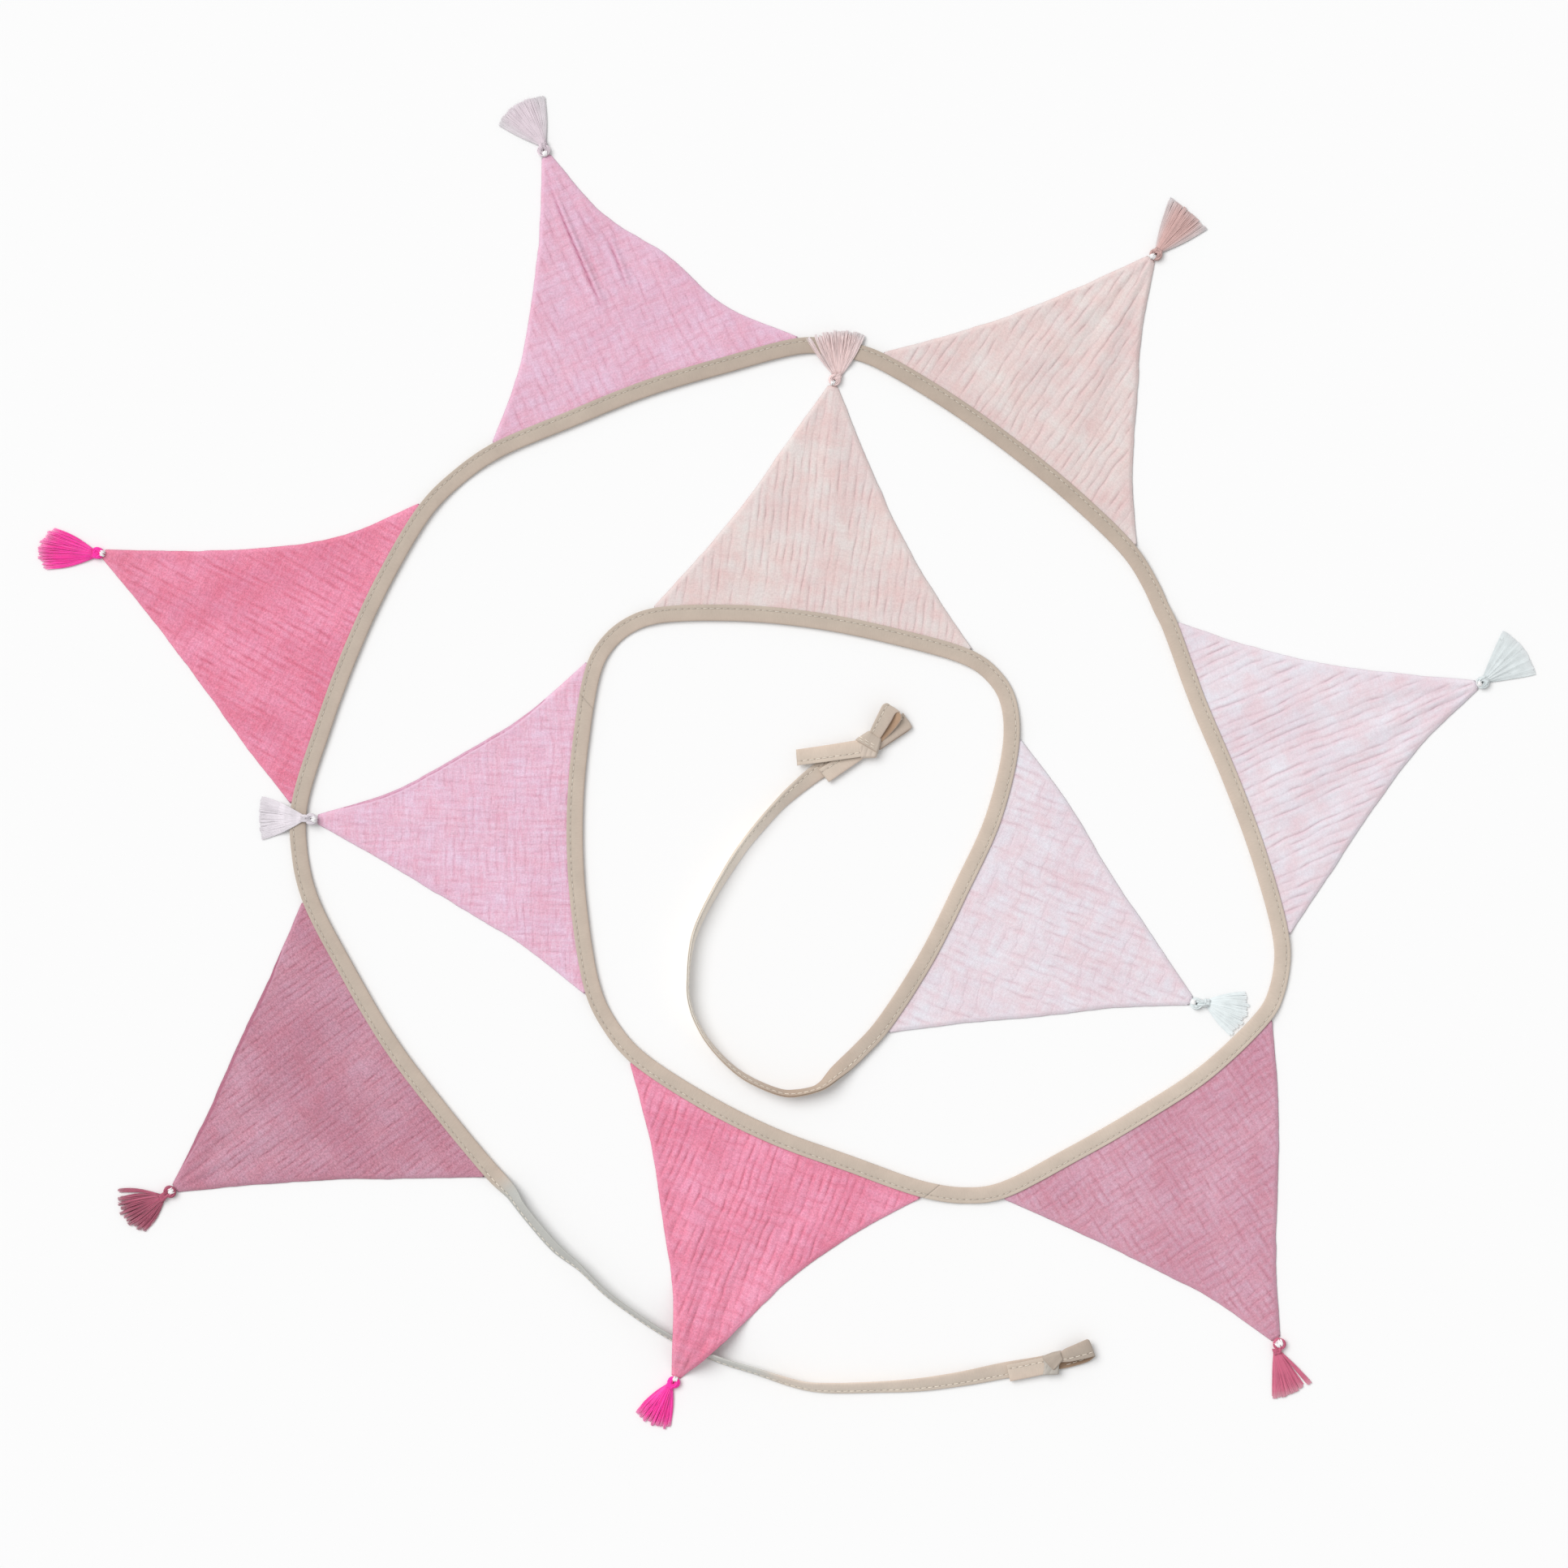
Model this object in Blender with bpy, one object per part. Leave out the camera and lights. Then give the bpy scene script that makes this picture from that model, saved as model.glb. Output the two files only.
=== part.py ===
"""Fabric bunting, laid in a spiral on a flat surface.

Ten triangular flags of double gauze are sewn into the open side of one folded binding. The binding runs from a
bow at the outer end of the spiral to a bow at its inner end, and a thread tassel hangs from each flag's tip.

Metres, +Z up, with the surface at z = 0 and the middle of the laid-out bunting over the origin. The tables are
in millimetres. The binding is followed from its outer end inwards, which is clockwise from above, so the flags
always point to its left.
"""
import math
from collections import namedtuple

import bmesh
import bpy
import numpy as np
from mathutils import Vector

MM = 0.001

# The binding: a strip folded in two, its fold on the inside of the spiral and its open edges towards the flags.
BINDING_WIDTH = 10.0
LIMB = 0.6                  # thickness of each of its two layers
SHUT_GAP = 0.3              # between the layers where no flag is held
OPEN_GAP = 1.4              # between the layers where they hold a flag
SEAM_GAP = 0.3              # between two lengths of binding, or the binding and a knot
DENSE_STEPS = 12            # curve samples between two points of the route
LONGEST_STRETCH = 30.0      # between two of its sections
MOST_TURN = 7.0             # degrees that it rolls over between two of its sections

# The flags.
CLOTH = 1.2                 # double gauze, turned and pressed
PRESSED = 0.8               # the same cloth between the layers of the binding
HELD_DEPTH = 7.5            # how far the cloth reaches into the binding
CORNER_INSET = 1.5          # from the end of a flag's stretch to its cloth
LEVEL_OUT = 1.0             # beyond the binding before the cloth sinks to the surface
TIP_WIDTH = 6.0
COLUMNS = 10
ROWS = (0.0, 0.04, 0.16, 0.28, 0.40, 0.52, 0.64, 0.76, 0.88, 1.0)

# The tassels.
RING_OUTER = 3.4            # the looped head, round the sewing thread
RING_INNER = 1.9
HEAD_HEIGHT = 3.0
HEAD_CHAMFER = 0.8
HEAD_SIDES = 10
NECK_WIDTH = 4.6
TIP_CLEARANCE = 0.4         # between a flag's tip and its tassel's head
CELLS = 9                   # across the neck: each carries a lower and an upper strand
SKIRT_BULGE = 4.0           # added to the skirt's width halfway down
STRAND_SPREAD = 0.62        # share of the room across that a strand fills
STRAND_HEIGHT = 1.1
LAYER_RISE = 1.5            # from the surface to the upper strands
BEAD_RADIUS = 1.5
BEAD_HEIGHT = 3.2

Flag = namedtuple("Flag", "number colour start end base_bows tip first_bows second_bows ridges swell")

# start and end: the stretch of binding that holds the flag, on the binding's middle line. The bows are how far
# an edge swells out of its chord at a quarter, a half and three quarters of its length; the first side runs from
# the start to the tip, the second from the end to the tip. Swell is the height of the low waves in the cloth.
FLAGS = (
    Flag(1, "rose", (-181.0, -252.5), (-293.5, -83.0), (5.5, 8.5, 5.8),
         (-376.5, -262.2), (-1.4, -3.0, -2.2), (-1.1, -0.7, -1.4), 3, 1.2),
    Flag(2, "coral", (-300.0, -27.5), (-221.0, 157.0), (5.8, 8.4, 7.0),
         (-420.3, 128.4), (0.3, -1.2, -1.5), (-12.5, -13.2, -8.1), 2, 0.9),
    Flag(3, "pink", (-179.5, 191.5), (9.0, 256.5), (3.6, 6.2, 4.2),
         (-148.0, 373.2), (-8.1, -8.8, -6.4), (-11.0, -7.2, -10.0), 2, 0.8),
    Flag(4, "blush", (56.2, 248.0), (212.0, 129.0), (6.0, 7.7, 6.2),
         (224.5, 310.2), (-3.8, -5.3, -3.4), (-5.4, -5.5, -5.2), 3, 1.2),
    Flag(5, "pale", (235.5, 85.5), (304.5, -108.0), (0.6, 3.6, 4.2),
         (425.0, 47.8), (-6.0, -7.8, -4.8), (-3.3, -6.5, -6.9), 3, 1.2),
    Flag(6, "rose", (295.3, -154.3), (131.0, -264.0), (9.4, 9.3, 6.0),
         (301.5, -354.8), (2.4, 1.1, -1.4), (-3.2, -5.0, -5.6), 2, 0.9),
    Flag(7, "coral", (85.0, -263.0), (-93.5, -180.0), (5.0, 9.2, 7.7),
         (-68.0, -378.2), (-6.8, -8.3, -3.3), (-5.8, -7.1, -7.3), 3, 1.2),
    Flag(8, "pink", (-118.5, -142.0), (-117.5, 61.0), (9.3, 12.4, 9.2),
         (-288.5, -35.0), (-4.7, -3.7, -2.5), (-9.7, -11.2, -10.3), 2, 0.8),
    Flag(9, "blush", (-82.0, 90.0), (113.0, 64.0), (8.6, 10.7, 7.5),
         (28.5, 231.8), (-3.0, -4.3, -1.9), (-5.2, -6.7, -4.1), 2, 0.9),
    Flag(10, "pale", (138.6, 15.8), (57.7, -163.9), (10.2, 10.0, 7.8),
         (249.0, -146.8), (2.5, 0.0, -0.1), (-1.7, -1.6, -2.5), 2, 0.8),
)

# The binding's middle line between a flag and the next one, by the number of the flag that it follows.
BETWEEN = {
    1: ((-299.8, -55.4),),
    2: ((-201.2, 176.5),),
    3: ((27.0, 256.0), (43.0, 252.8)),
    4: ((224.4, 109.1), (230.9, 94.9)),
    5: ((305.1, -125.1), (301.0, -143.6)),
    6: ((110.5, -266.6),),
    7: ((-108.4, -162.2),),
    8: ((-108.1, 75.5), (-97.5, 84.0)),
    9: ((126.4, 54.4), (135.6, 40.5)),
    10: (),
}

# The two ties. Roll turns the binding about its own length: 0 lies flat, a positive roll raises its fold, and a
# negative one its open edges.
TiePoint = namedtuple("TiePoint", "x y roll")
OUTER_TIE = (
    TiePoint(155.5, -370.8, 0),
    TiePoint(135.0, -374.2, 0),
    TiePoint(108.5, -379.1, 22),
    TiePoint(82.0, -382.7, 32),
    TiePoint(55.5, -384.1, 44),
    TiePoint(25.5, -384.6, 48),
    TiePoint(10.5, -383.2, 56),
    TiePoint(-19.2, -374.2, 64),
    TiePoint(-44.5, -366.1, 66),
    TiePoint(-74.5, -351.5, 69),
    TiePoint(-97.6, -336.4, 70),
    TiePoint(-112.0, -325.4, 71),
    TiePoint(-122.7, -315.0, 72),
    TiePoint(-128.0, -309.8, 66),
    TiePoint(-141.3, -299.1, 53),
    TiePoint(-157.1, -281.3, 52),
    TiePoint(-164.8, -271.3, 50),
    TiePoint(-169.2, -264.6, 35),
)
INNER_TIE = (
    TiePoint(45.2, -177.4, -12),
    TiePoint(37.2, -185.0, -16),
    TiePoint(29.8, -191.4, -38),
    TiePoint(22.5, -198.2, -64),
    TiePoint(17.1, -201.0, -74),
    TiePoint(5.1, -203.4, -71),
    TiePoint(-3.0, -203.0, -73),
    TiePoint(-23.4, -194.6, -75),
    TiePoint(-35.5, -185.7, -79),
    TiePoint(-48.2, -171.8, -81),
    TiePoint(-55.1, -160.3, -84),
    TiePoint(-58.4, -152.3, -86),
    TiePoint(-60.4, -143.2, -87),
    TiePoint(-60.6, -133.2, -88),
    TiePoint(-58.8, -115.1, -81),
    TiePoint(-55.6, -103.0, -74),
    TiePoint(-46.9, -84.7, -68),
    TiePoint(-34.3, -63.6, -58),
    TiePoint(-25.2, -50.2, -55),
    TiePoint(-4.4, -26.0, -47),
    TiePoint(7.7, -14.9, -30),
    TiePoint(19.7, -5.5, 0),
    TiePoint(40.4, 6.2, 0),
)

# The binding is three lengths joined end to end. Each seam is named by a place on the middle line.
SEAMS = ((89.5, -260.8), (-121.0, 35.2))
TAPE_NAMES = ("tape_outer", "tape_middle", "tape_inner")

# Where flag 7 lies over the outer tie: its cloth is lifted over this stretch of the tie.
TIE_CROSSING = ((-74.5, -351.5), (-44.5, -366.2))
CROSSING_FLAG = 7
CROSSING_HEIGHT = 11.2
CROSSING_FLAT = 9.0         # half the width of the lifted cloth's top
CROSSING_FOOT = 20.0        # from the tie to where the cloth is down again
CROSSING_ROWS = (0.0, 0.04, 0.18, 0.32, 0.46, 0.60, 0.725, 0.80, 0.905, 1.0)

# The two soft creases that stand in flag 3.
Crease = namedtuple("Crease", "flag foot top height half_width")
CREASES = (
    Crease(3, (-114.0, 282.2), (-144.0, 351.8), 2.4, 9.0),
    Crease(3, (-98.5, 292.2), (-109.0, 321.8), 1.6, 8.0),
)

Tassel = namedtuple("Tassel", "number colour neck first middle last")

# neck: where the skirt starts; first, middle and last: the ends of the skirt.
TASSELS = (
    Tassel(1, "rose", (-384.5, -268.0), (-412.5, -261.7), (-409.5, -280.2), (-394.5, -289.2)),
    Tassel(2, "magenta", (-426.0, 128.2), (-451.0, 145.7), (-461.5, 132.2), (-456.5, 118.2)),
    Tassel(3, "shell", (-150.0, 381.2), (-178.0, 391.7), (-167.5, 405.2), (-148.0, 411.2)),
    Tassel(4, "clay", (229.0, 315.2), (235.7, 349.0), (248.5, 339.7), (260.0, 327.7)),
    Tassel(5, "ice", (430.5, 51.2), (440.7, 81.7), (454.0, 70.7), (462.0, 53.2)),
    Tassel(6, "rose", (302.0, -363.2), (299.5, -392.0), (311.5, -389.2), (322.5, -382.2)),
    Tassel(7, "magenta", (-72.0, -384.0), (-95.0, -400.2), (-83.0, -408.7), (-71.0, -410.7)),
    Tassel(8, "lilac", (-298.0, -34.2), (-323.5, -20.0), (-325.0, -32.7), (-323.5, -48.5)),
    Tassel(9, "clay", (31.7, 238.2), (12.5, 261.7), (30.5, 266.5), (49.5, 263.7)),
    Tassel(10, "ice", (259.5, -148.0), (282.5, -140.2), (284.5, -155.5), (272.5, -169.5)),
)
OVER_TAPE = {8: 3.0, 9: 0.0}    # tassels whose skirts lie over the binding, and how far their heads are lifted

COLOURS = {
    "binding": (0.61, 0.53, 0.44),
    "rose": (0.60, 0.36, 0.46),
    "coral": (0.86, 0.22, 0.34),
    "pink": (0.79, 0.46, 0.62),
    "blush": (0.78, 0.66, 0.63),
    "pale": (0.84, 0.73, 0.76),
    "magenta": (0.85, 0.06, 0.30),
    "shell": (0.76, 0.64, 0.68),
    "clay": (0.66, 0.43, 0.42),
    "ice": (0.74, 0.80, 0.80),
    "lilac": (0.77, 0.70, 0.78),
    "thread": (0.85, 0.84, 0.83),
}

# The bows: a knot each, and the folded binding's tails and loops that come out of it. Across gives the heading
# of a strip's width at a station, and lean tips it.
Station = namedtuple("Station", "x y z across lean width")
STRIP = 1.5
KNOT_HEIGHT = 7.4
KNOT_BULGE = 0.86           # of the knot's outline at its top and foot
KNOTS = {
    "bow_outer_knot": ((157.1, -365.1), (168.8, -362.0), (171.0, -364.9), (167.9, -376.6), (157.3, -377.1)),
    "bow_inner_knot": ((42.0, 13.7), (50.6, 20.0), (58.3, 15.2), (57.8, 10.3), (55.5, 2.5), (44.8, 2.2)),
}
STRIPS = {
    "bow_outer_tail": (
        Station(156.5, -370.8, 3.8, 91, 0, 10.0), Station(148.0, -373.2, 3.2, 98, 0, 10.2),
        Station(137.4, -376.0, 2.9, 103, 0, 10.4)),
    "bow_outer_loop": (
        Station(170.0, -369.9, 5.2, 76, 0, 8.6), Station(176.5, -364.3, 5.9, 108, 8, 9.8),
        Station(183.8, -359.8, 6.0, 113, 8, 10.4), Station(187.0, -360.2, 4.0, 113, 4, 10.2),
        Station(184.6, -364.6, 1.6, 113, 0, 9.4), Station(176.5, -368.4, 1.4, 106, 0, 8.6),
        Station(169.9, -371.9, 2.2, 76, 0, 8.0)),
    "bow_inner_tail": (
        Station(42.6, 8.0, 5.2, 104, 0, 10.2), Station(25.0, 5.6, 4.8, 98, 0, 10.0),
        Station(6.2, 3.0, 4.4, 95, 0, 10.0)),
    "bow_inner_short_tail": (
        Station(43.6, 3.6, 2.8, 108, 0, 6.4), Station(35.4, -1.4, 2.8, 120, 0, 7.8),
        Station(23.4, -8.0, 2.7, 127, 0, 10.0)),
    "bow_inner_loop": (
        Station(54.6, 18.2, 7.1, 148, 0, 8.2), Station(57.6, 22.6, 8.1, 150, 4, 8.8),
        Station(60.6, 28.0, 8.6, 148, 8, 9.4), Station(62.6, 32.0, 8.1, 146, 8, 9.4),
        Station(64.4, 32.6, 6.9, 146, 8, 9.4), Station(64.4, 29.4, 5.9, 148, 8, 9.4),
        Station(60.0, 23.0, 5.4, 150, 4, 8.8), Station(55.2, 18.0, 5.0, 148, 0, 8.2)),
    "bow_inner_low_loop": (
        Station(59.1, 12.7, 2.7, 97, 0, 5.0), Station(65.0, 18.8, 2.7, 117, 0, 7.8),
        Station(71.8, 24.0, 2.7, 120, 0, 9.6), Station(73.8, 25.4, 1.75, 120, 0, 9.6),
        Station(71.8, 23.6, 0.75, 120, 0, 9.6), Station(65.0, 18.0, 0.75, 117, 0, 7.8),
        Station(59.1, 12.3, 0.75, 97, 0, 5.0)),
}


def clear_scene():
    for item in list(bpy.data.objects):
        bpy.data.objects.remove(item, do_unlink=True)


def material(name):
    """The finish of one colour of cloth or thread."""
    finish = bpy.data.materials.get(name)
    if finish is None:
        finish = bpy.data.materials.new(name)
        finish.use_nodes = True
        shader = finish.node_tree.nodes["Principled BSDF"]
        shader.inputs["Base Color"].default_value = (*COLOURS[name], 1.0)
        shader.inputs["Roughness"].default_value = 0.9
        shader.inputs["Metallic"].default_value = 0.0
    return finish


def add_object(name, shape, colour):
    """Turn a bmesh in millimetres into an object in metres."""
    bmesh.ops.recalc_face_normals(shape, faces=shape.faces)
    bmesh.ops.scale(shape, vec=Vector((MM, MM, MM)), verts=shape.verts)
    mesh = bpy.data.meshes.new(name)
    shape.to_mesh(mesh)
    shape.free()
    mesh.materials.append(material(colour))
    item = bpy.data.objects.new(name, mesh)
    bpy.context.collection.objects.link(item)
    return item


def left_of(direction):
    """The horizontal unit vector to the left of a direction."""
    x, y = direction[0], direction[1]
    length = math.hypot(x, y)
    return np.array((-y / length, x / length))


def bowed_point(start, end, bows, share, outward):
    """A point on an edge that swells out of its chord by the three bows."""
    knots = (0.0, *bows, 0.0)
    place = min(share * 4, 3.999999)
    index = int(place)
    local = place - index
    before = knots[index - 1] if index > 0 else -knots[1]
    here, there = knots[index], knots[index + 1]
    after = knots[index + 2] if index < 3 else -knots[3]
    bow = 0.5 * (2 * here + (there - before) * local
                 + (2 * before - 5 * here + 4 * there - after) * local ** 2
                 + (3 * here - before - 3 * there + after) * local ** 3)
    return np.array(start) * (1 - share) + np.array(end) * share + np.array(outward) * bow


def control_points():
    """The route's points, outer bow to inner bow: x, y, roll and how far the binding is opened."""
    points = [(p.x, p.y, p.roll, 0.0) for p in OUTER_TIE]
    for flag in FLAGS:
        outward = left_of(np.subtract(flag.end, flag.start))
        for share in (0.0, 0.25, 0.5, 0.75, 1.0):
            x, y = bowed_point(flag.start, flag.end, flag.base_bows, share, outward)
            points.append((x, y, 0.0, 1.0))
        points.extend((x, y, 0.0, 0.0) for x, y in BETWEEN[flag.number])
    points.extend((p.x, p.y, p.roll, 0.0) for p in INNER_TIE)
    return np.array(points, dtype=float)


class Route:
    """The binding's middle line as a smooth curve, read by its arc length."""

    def __init__(self, points):
        xy = points[:, :2]
        ends = np.vstack((2 * xy[0] - xy[1], xy, 2 * xy[-1] - xy[-2]))
        samples = []
        for i in range(len(xy) - 1):
            samples.extend(self.segment(ends[i:i + 4], points[i], points[i + 1]))
        samples.append(points[-1])
        self.samples = np.array(samples)
        steps = np.hypot(*np.diff(self.samples[:, :2], axis=0).T)
        self.lengths = np.concatenate(((0.0,), np.cumsum(steps)))
        self.controls = self.lengths[::DENSE_STEPS]
        self.total = self.lengths[-1]

    @staticmethod
    def segment(corners, first, second):
        """Centripetal Catmull-Rom from the second to the third of four corners."""
        times = [0.0]
        for a, b in zip(corners[:-1], corners[1:]):
            times.append(times[-1] + math.sqrt(math.hypot(*(b - a))))
        t0, t1, t2, t3 = times
        rows = []
        for k in range(DENSE_STEPS):
            share = k / DENSE_STEPS
            t = t1 + (t2 - t1) * share
            a1 = ((t1 - t) * corners[0] + (t - t0) * corners[1]) / (t1 - t0)
            a2 = ((t2 - t) * corners[1] + (t - t1) * corners[2]) / (t2 - t1)
            a3 = ((t3 - t) * corners[2] + (t - t2) * corners[3]) / (t3 - t2)
            b1 = ((t2 - t) * a1 + (t - t0) * a2) / (t2 - t0)
            b2 = ((t3 - t) * a2 + (t - t1) * a3) / (t3 - t1)
            place = ((t2 - t) * b1 + (t - t1) * b2) / (t2 - t1)
            rest = first[2:] * (1 - share) + second[2:] * share
            rows.append((*place, *rest))
        return rows

    def at(self, length):
        """Place, leftward direction, roll and opening at an arc length."""
        values = [np.interp(length, self.lengths, self.samples[:, k]) for k in range(4)]
        reach = 1.0
        ahead = [np.interp(min(length + reach, self.total), self.lengths, self.samples[:, k]) for k in (0, 1)]
        behind = [np.interp(max(length - reach, 0.0), self.lengths, self.samples[:, k]) for k in (0, 1)]
        return (np.array(values[:2]), left_of(np.subtract(ahead, behind)), *values[2:])

    def nearest(self, place):
        """The arc length nearest to a place, and how far off it is."""
        gaps = np.hypot(self.samples[:, 0] - place[0], self.samples[:, 1] - place[1])
        index = int(np.argmin(gaps))
        return self.lengths[index], gaps[index]


def binding_height(opening):
    return 2 * LIMB + SHUT_GAP + opening * (OPEN_GAP - SHUT_GAP)


def binding_section(opening):
    """The folded strip's outline as (outward, up) pairs about its middle, its open edge outwards."""
    half, tall = BINDING_WIDTH / 2, binding_height(opening) / 2
    slot = tall - LIMB
    wall = -half + LIMB
    return ((half, -tall), (-half + LIMB, -tall), (-half, 0.0), (-half + LIMB, tall), (half, tall),
            (half, slot), (wall, slot), (wall, -slot), (half, -slot))


def binding_ring(route, length):
    """The section's corners in space at an arc length, with its lowest corner on the surface."""
    place, outward, roll, opening = route.at(length)
    cosine, sine = math.cos(math.radians(roll)), math.sin(math.radians(roll))
    turned = [(n * cosine + b * sine, b * cosine - n * sine) for n, b in binding_section(opening)]
    foot = min(up for _, up in turned)
    return [Vector((*(place + outward * n), up - foot)) for n, up in turned]


def skin(shape, rings, slants=()):
    """Join rings of equal count into a tube and return their vertices. With slants, one for each side of a ring,
    that side's faces are halved: from its first corner to the next ring's second if true, or else across."""
    loops = [[shape.verts.new(corner) for corner in ring] for ring in rings]
    count = len(loops[0])
    for one, two in zip(loops[:-1], loops[1:]):
        for k in range(count):
            corners = (one[k], one[(k + 1) % count], two[(k + 1) % count], two[k])
            if not slants:
                shape.faces.new(corners)
                continue
            start = 0 if slants[k] else 1
            turned = corners[start:] + corners[:start]
            shape.faces.new(turned[:3])
            shape.faces.new((turned[0], *turned[2:]))
    return loops


def loft(shape, rings, slants=()):
    """Join rings of equal count into a closed body with one face at each end."""
    loops = skin(shape, rings, slants)
    shape.faces.new(loops[0][::-1])
    shape.faces.new(loops[-1])


def close_edge(shape, loop):
    """Fill a long thin end, whose second half runs back along the first, with a strip of faces."""
    for k in range(len(loop) // 2 - 1):
        shape.faces.new((loop[k], loop[k + 1], loop[-2 - k], loop[-1 - k]))


def binding_stops(route):
    """The arc lengths of the binding's sections: one for each control point, and more where a stretch is long or
    turns over."""
    stops = [0.0]
    rolls = route.samples[::DENSE_STEPS, 2]
    for begin, end, turn in zip(route.controls[:-1], route.controls[1:], np.abs(np.diff(rolls))):
        count = math.ceil(max((end - begin) / LONGEST_STRETCH, turn / MOST_TURN, 1.0))
        stops.extend(np.linspace(begin, end, count + 1)[1:])
    return stops


def make_tapes(route):
    """The three lengths of binding, end to end with a hairline between them."""
    seams = [route.nearest(place)[0] for place in SEAMS]
    cuts = [0.0, *seams, route.total]
    stops = binding_stops(route)
    across = [n for n, _ in binding_section(0.0)]
    slants = [n > after for n, after in zip(across, across[1:] + across[:1])]
    for name, begin, end in zip(TAPE_NAMES, cuts[:-1], cuts[1:]):
        begin, end = begin + SEAM_GAP / 2, end - SEAM_GAP / 2
        inside = [s for s in stops if begin + 2.0 < s < end - 2.0]
        shape = bmesh.new()
        loft(shape, [binding_ring(route, s) for s in (begin, *inside, end)], slants)
        add_object(name, shape, "binding")


def crossing_lift(place):
    """How high the cloth is held over the outer tie."""
    start, end = np.array(TIE_CROSSING[0]), np.array(TIE_CROSSING[1])
    off = abs(np.dot(np.subtract(place, start), left_of(end - start)))
    fall = (CROSSING_FOOT - off) / (CROSSING_FOOT - CROSSING_FLAT)
    return CROSSING_HEIGHT * min(max(fall, 0.0), 1.0)


def crease_lift(crease, place):
    """A soft ridge that fades to nothing at its sides and its ends."""
    foot, top = np.array(crease.foot), np.array(crease.top)
    along = top - foot
    share = np.dot(np.subtract(place, foot), along) / np.dot(along, along)
    off = np.linalg.norm(np.subtract(place, foot + along * min(max(share, 0.0), 1.0)))
    return crease.height * max(0.0, 1.0 - off / crease.half_width)


def flag_lift(flag, place):
    """How far the underside of a flag is above the surface."""
    lift = crossing_lift(place) if flag.number == CROSSING_FLAG else 0.0
    return lift + sum(crease_lift(c, place) for c in CREASES if c.flag == flag.number)


def flag_wave(flag, across, share):
    """The low waves that run from the binding to the tip, none at the edges."""
    wander = 0.6 * math.sin(2.4 * share + flag.number)
    wave = 0.5 - 0.5 * math.cos(2 * math.pi * flag.ridges * across + wander + flag.number)
    return flag.swell * wave * math.sin(math.pi * across) ** 0.5 * math.sin(math.pi * share) ** 0.5


def flag_heading(flag):
    """The unit vector from the middle of a flag's base to its tip."""
    heading = np.subtract(flag.tip, np.add(flag.start, flag.end) / 2)
    return heading / np.linalg.norm(heading)


def flag_outline(flag, route):
    """Two functions: a line beside the binding's middle line, and any point of the cloth beyond the binding."""
    begin = route.nearest(flag.start)[0] + CORNER_INSET
    end = route.nearest(flag.end)[0] - CORNER_INSET

    def beside_binding(across, offset):
        place, outward, _, _ = route.at(begin + (end - begin) * across)
        return place + outward * offset

    def mouth(across):
        return beside_binding(across, BINDING_WIDTH / 2 + LEVEL_OUT)

    first, second, tip = mouth(0.0), mouth(1.0), np.array(flag.tip)
    tip_side = left_of(flag_heading(flag)) * TIP_WIDTH / 2
    first_tip, second_tip = tip + tip_side, tip - tip_side
    first_out = left_of(first_tip - first)
    second_out = -left_of(second_tip - second)

    def cloth(across, share):
        tip_edge = first_tip * (1 - across) + second_tip * across
        one = bowed_point(first, first_tip, flag.first_bows, share, first_out)
        two = bowed_point(second, second_tip, flag.second_bows, share, second_out)
        ruled = ((1 - share) * ((1 - across) * first + across * second)
                 + share * ((1 - across) * first_tip + across * second_tip))
        return ((1 - share) * mouth(across) + share * tip_edge
                + (1 - across) * one + across * two - ruled)

    return beside_binding, cloth


def make_flag(flag, route):
    """One sheet: its pressed edge in the binding, then the cloth on the surface with its low waves."""
    beside_binding, cloth = flag_outline(flag, route)
    held = LIMB + SHUT_GAP
    columns = [k / COLUMNS for k in range(COLUMNS + 1)]
    hidden = [beside_binding(a, BINDING_WIDTH / 2 - HELD_DEPTH) for a in columns]
    rings = [[(*p, held) for p in hidden] + [(*p, held + PRESSED) for p in hidden[::-1]]]
    rows = CROSSING_ROWS if flag.number == CROSSING_FLAG else ROWS
    for share in rows:
        places = [cloth(a, share) for a in columns]
        if share == 0.0:
            foot = [held] * len(places)
            top = [held + PRESSED] * len(places)
        else:
            foot = [flag_lift(flag, p) for p in places]
            top = [z + CLOTH + flag_wave(flag, a, share) for z, a in zip(foot, columns)]
        under = [(*p, z) for p, z in zip(places, foot)]
        over = [(*p, z) for p, z in zip(places, top)]
        rings.append(under + over[::-1])
    shape = bmesh.new()
    loops = skin(shape, rings)
    close_edge(shape, loops[0])
    close_edge(shape, loops[-1])
    add_object(f"flag_{flag.number:02d}", shape, flag.colour)


def resting_height(route, place):
    """How high a thread must lie to clear the binding under it."""
    length, off = route.nearest(place)
    opening = route.at(length)[3]
    ramp = (BINDING_WIDTH / 2 + 8.0 - off) / 6.0
    return (binding_height(opening) + 0.4) * min(max(ramp, 0.0), 1.0)


def head_rings(eye, corners, base):
    """The looped head: sections round its eye, the first and the last through the neck's two corners."""
    angles = [math.atan2(*reversed(corner - eye)) for corner in corners]
    turn = (angles[0] - angles[1]) % (2 * math.pi)
    top = base + HEAD_HEIGHT
    rings = []
    for k in range(HEAD_SIDES):
        angle = angles[0] - turn * k / (HEAD_SIDES - 1)
        heading = np.array((math.cos(angle), math.sin(angle)))
        reach = {0: np.linalg.norm(corners[0] - eye),
                 HEAD_SIDES - 1: np.linalg.norm(corners[1] - eye)}.get(k, RING_OUTER)
        inner, shoulder, outer = (eye + heading * r for r in (RING_INNER, reach - HEAD_CHAMFER, reach))
        rings.append([(*inner, base), (*inner, top), (*shoulder, top), (*outer, top - HEAD_CHAMFER),
                      (*outer, base)])
    return rings


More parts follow.
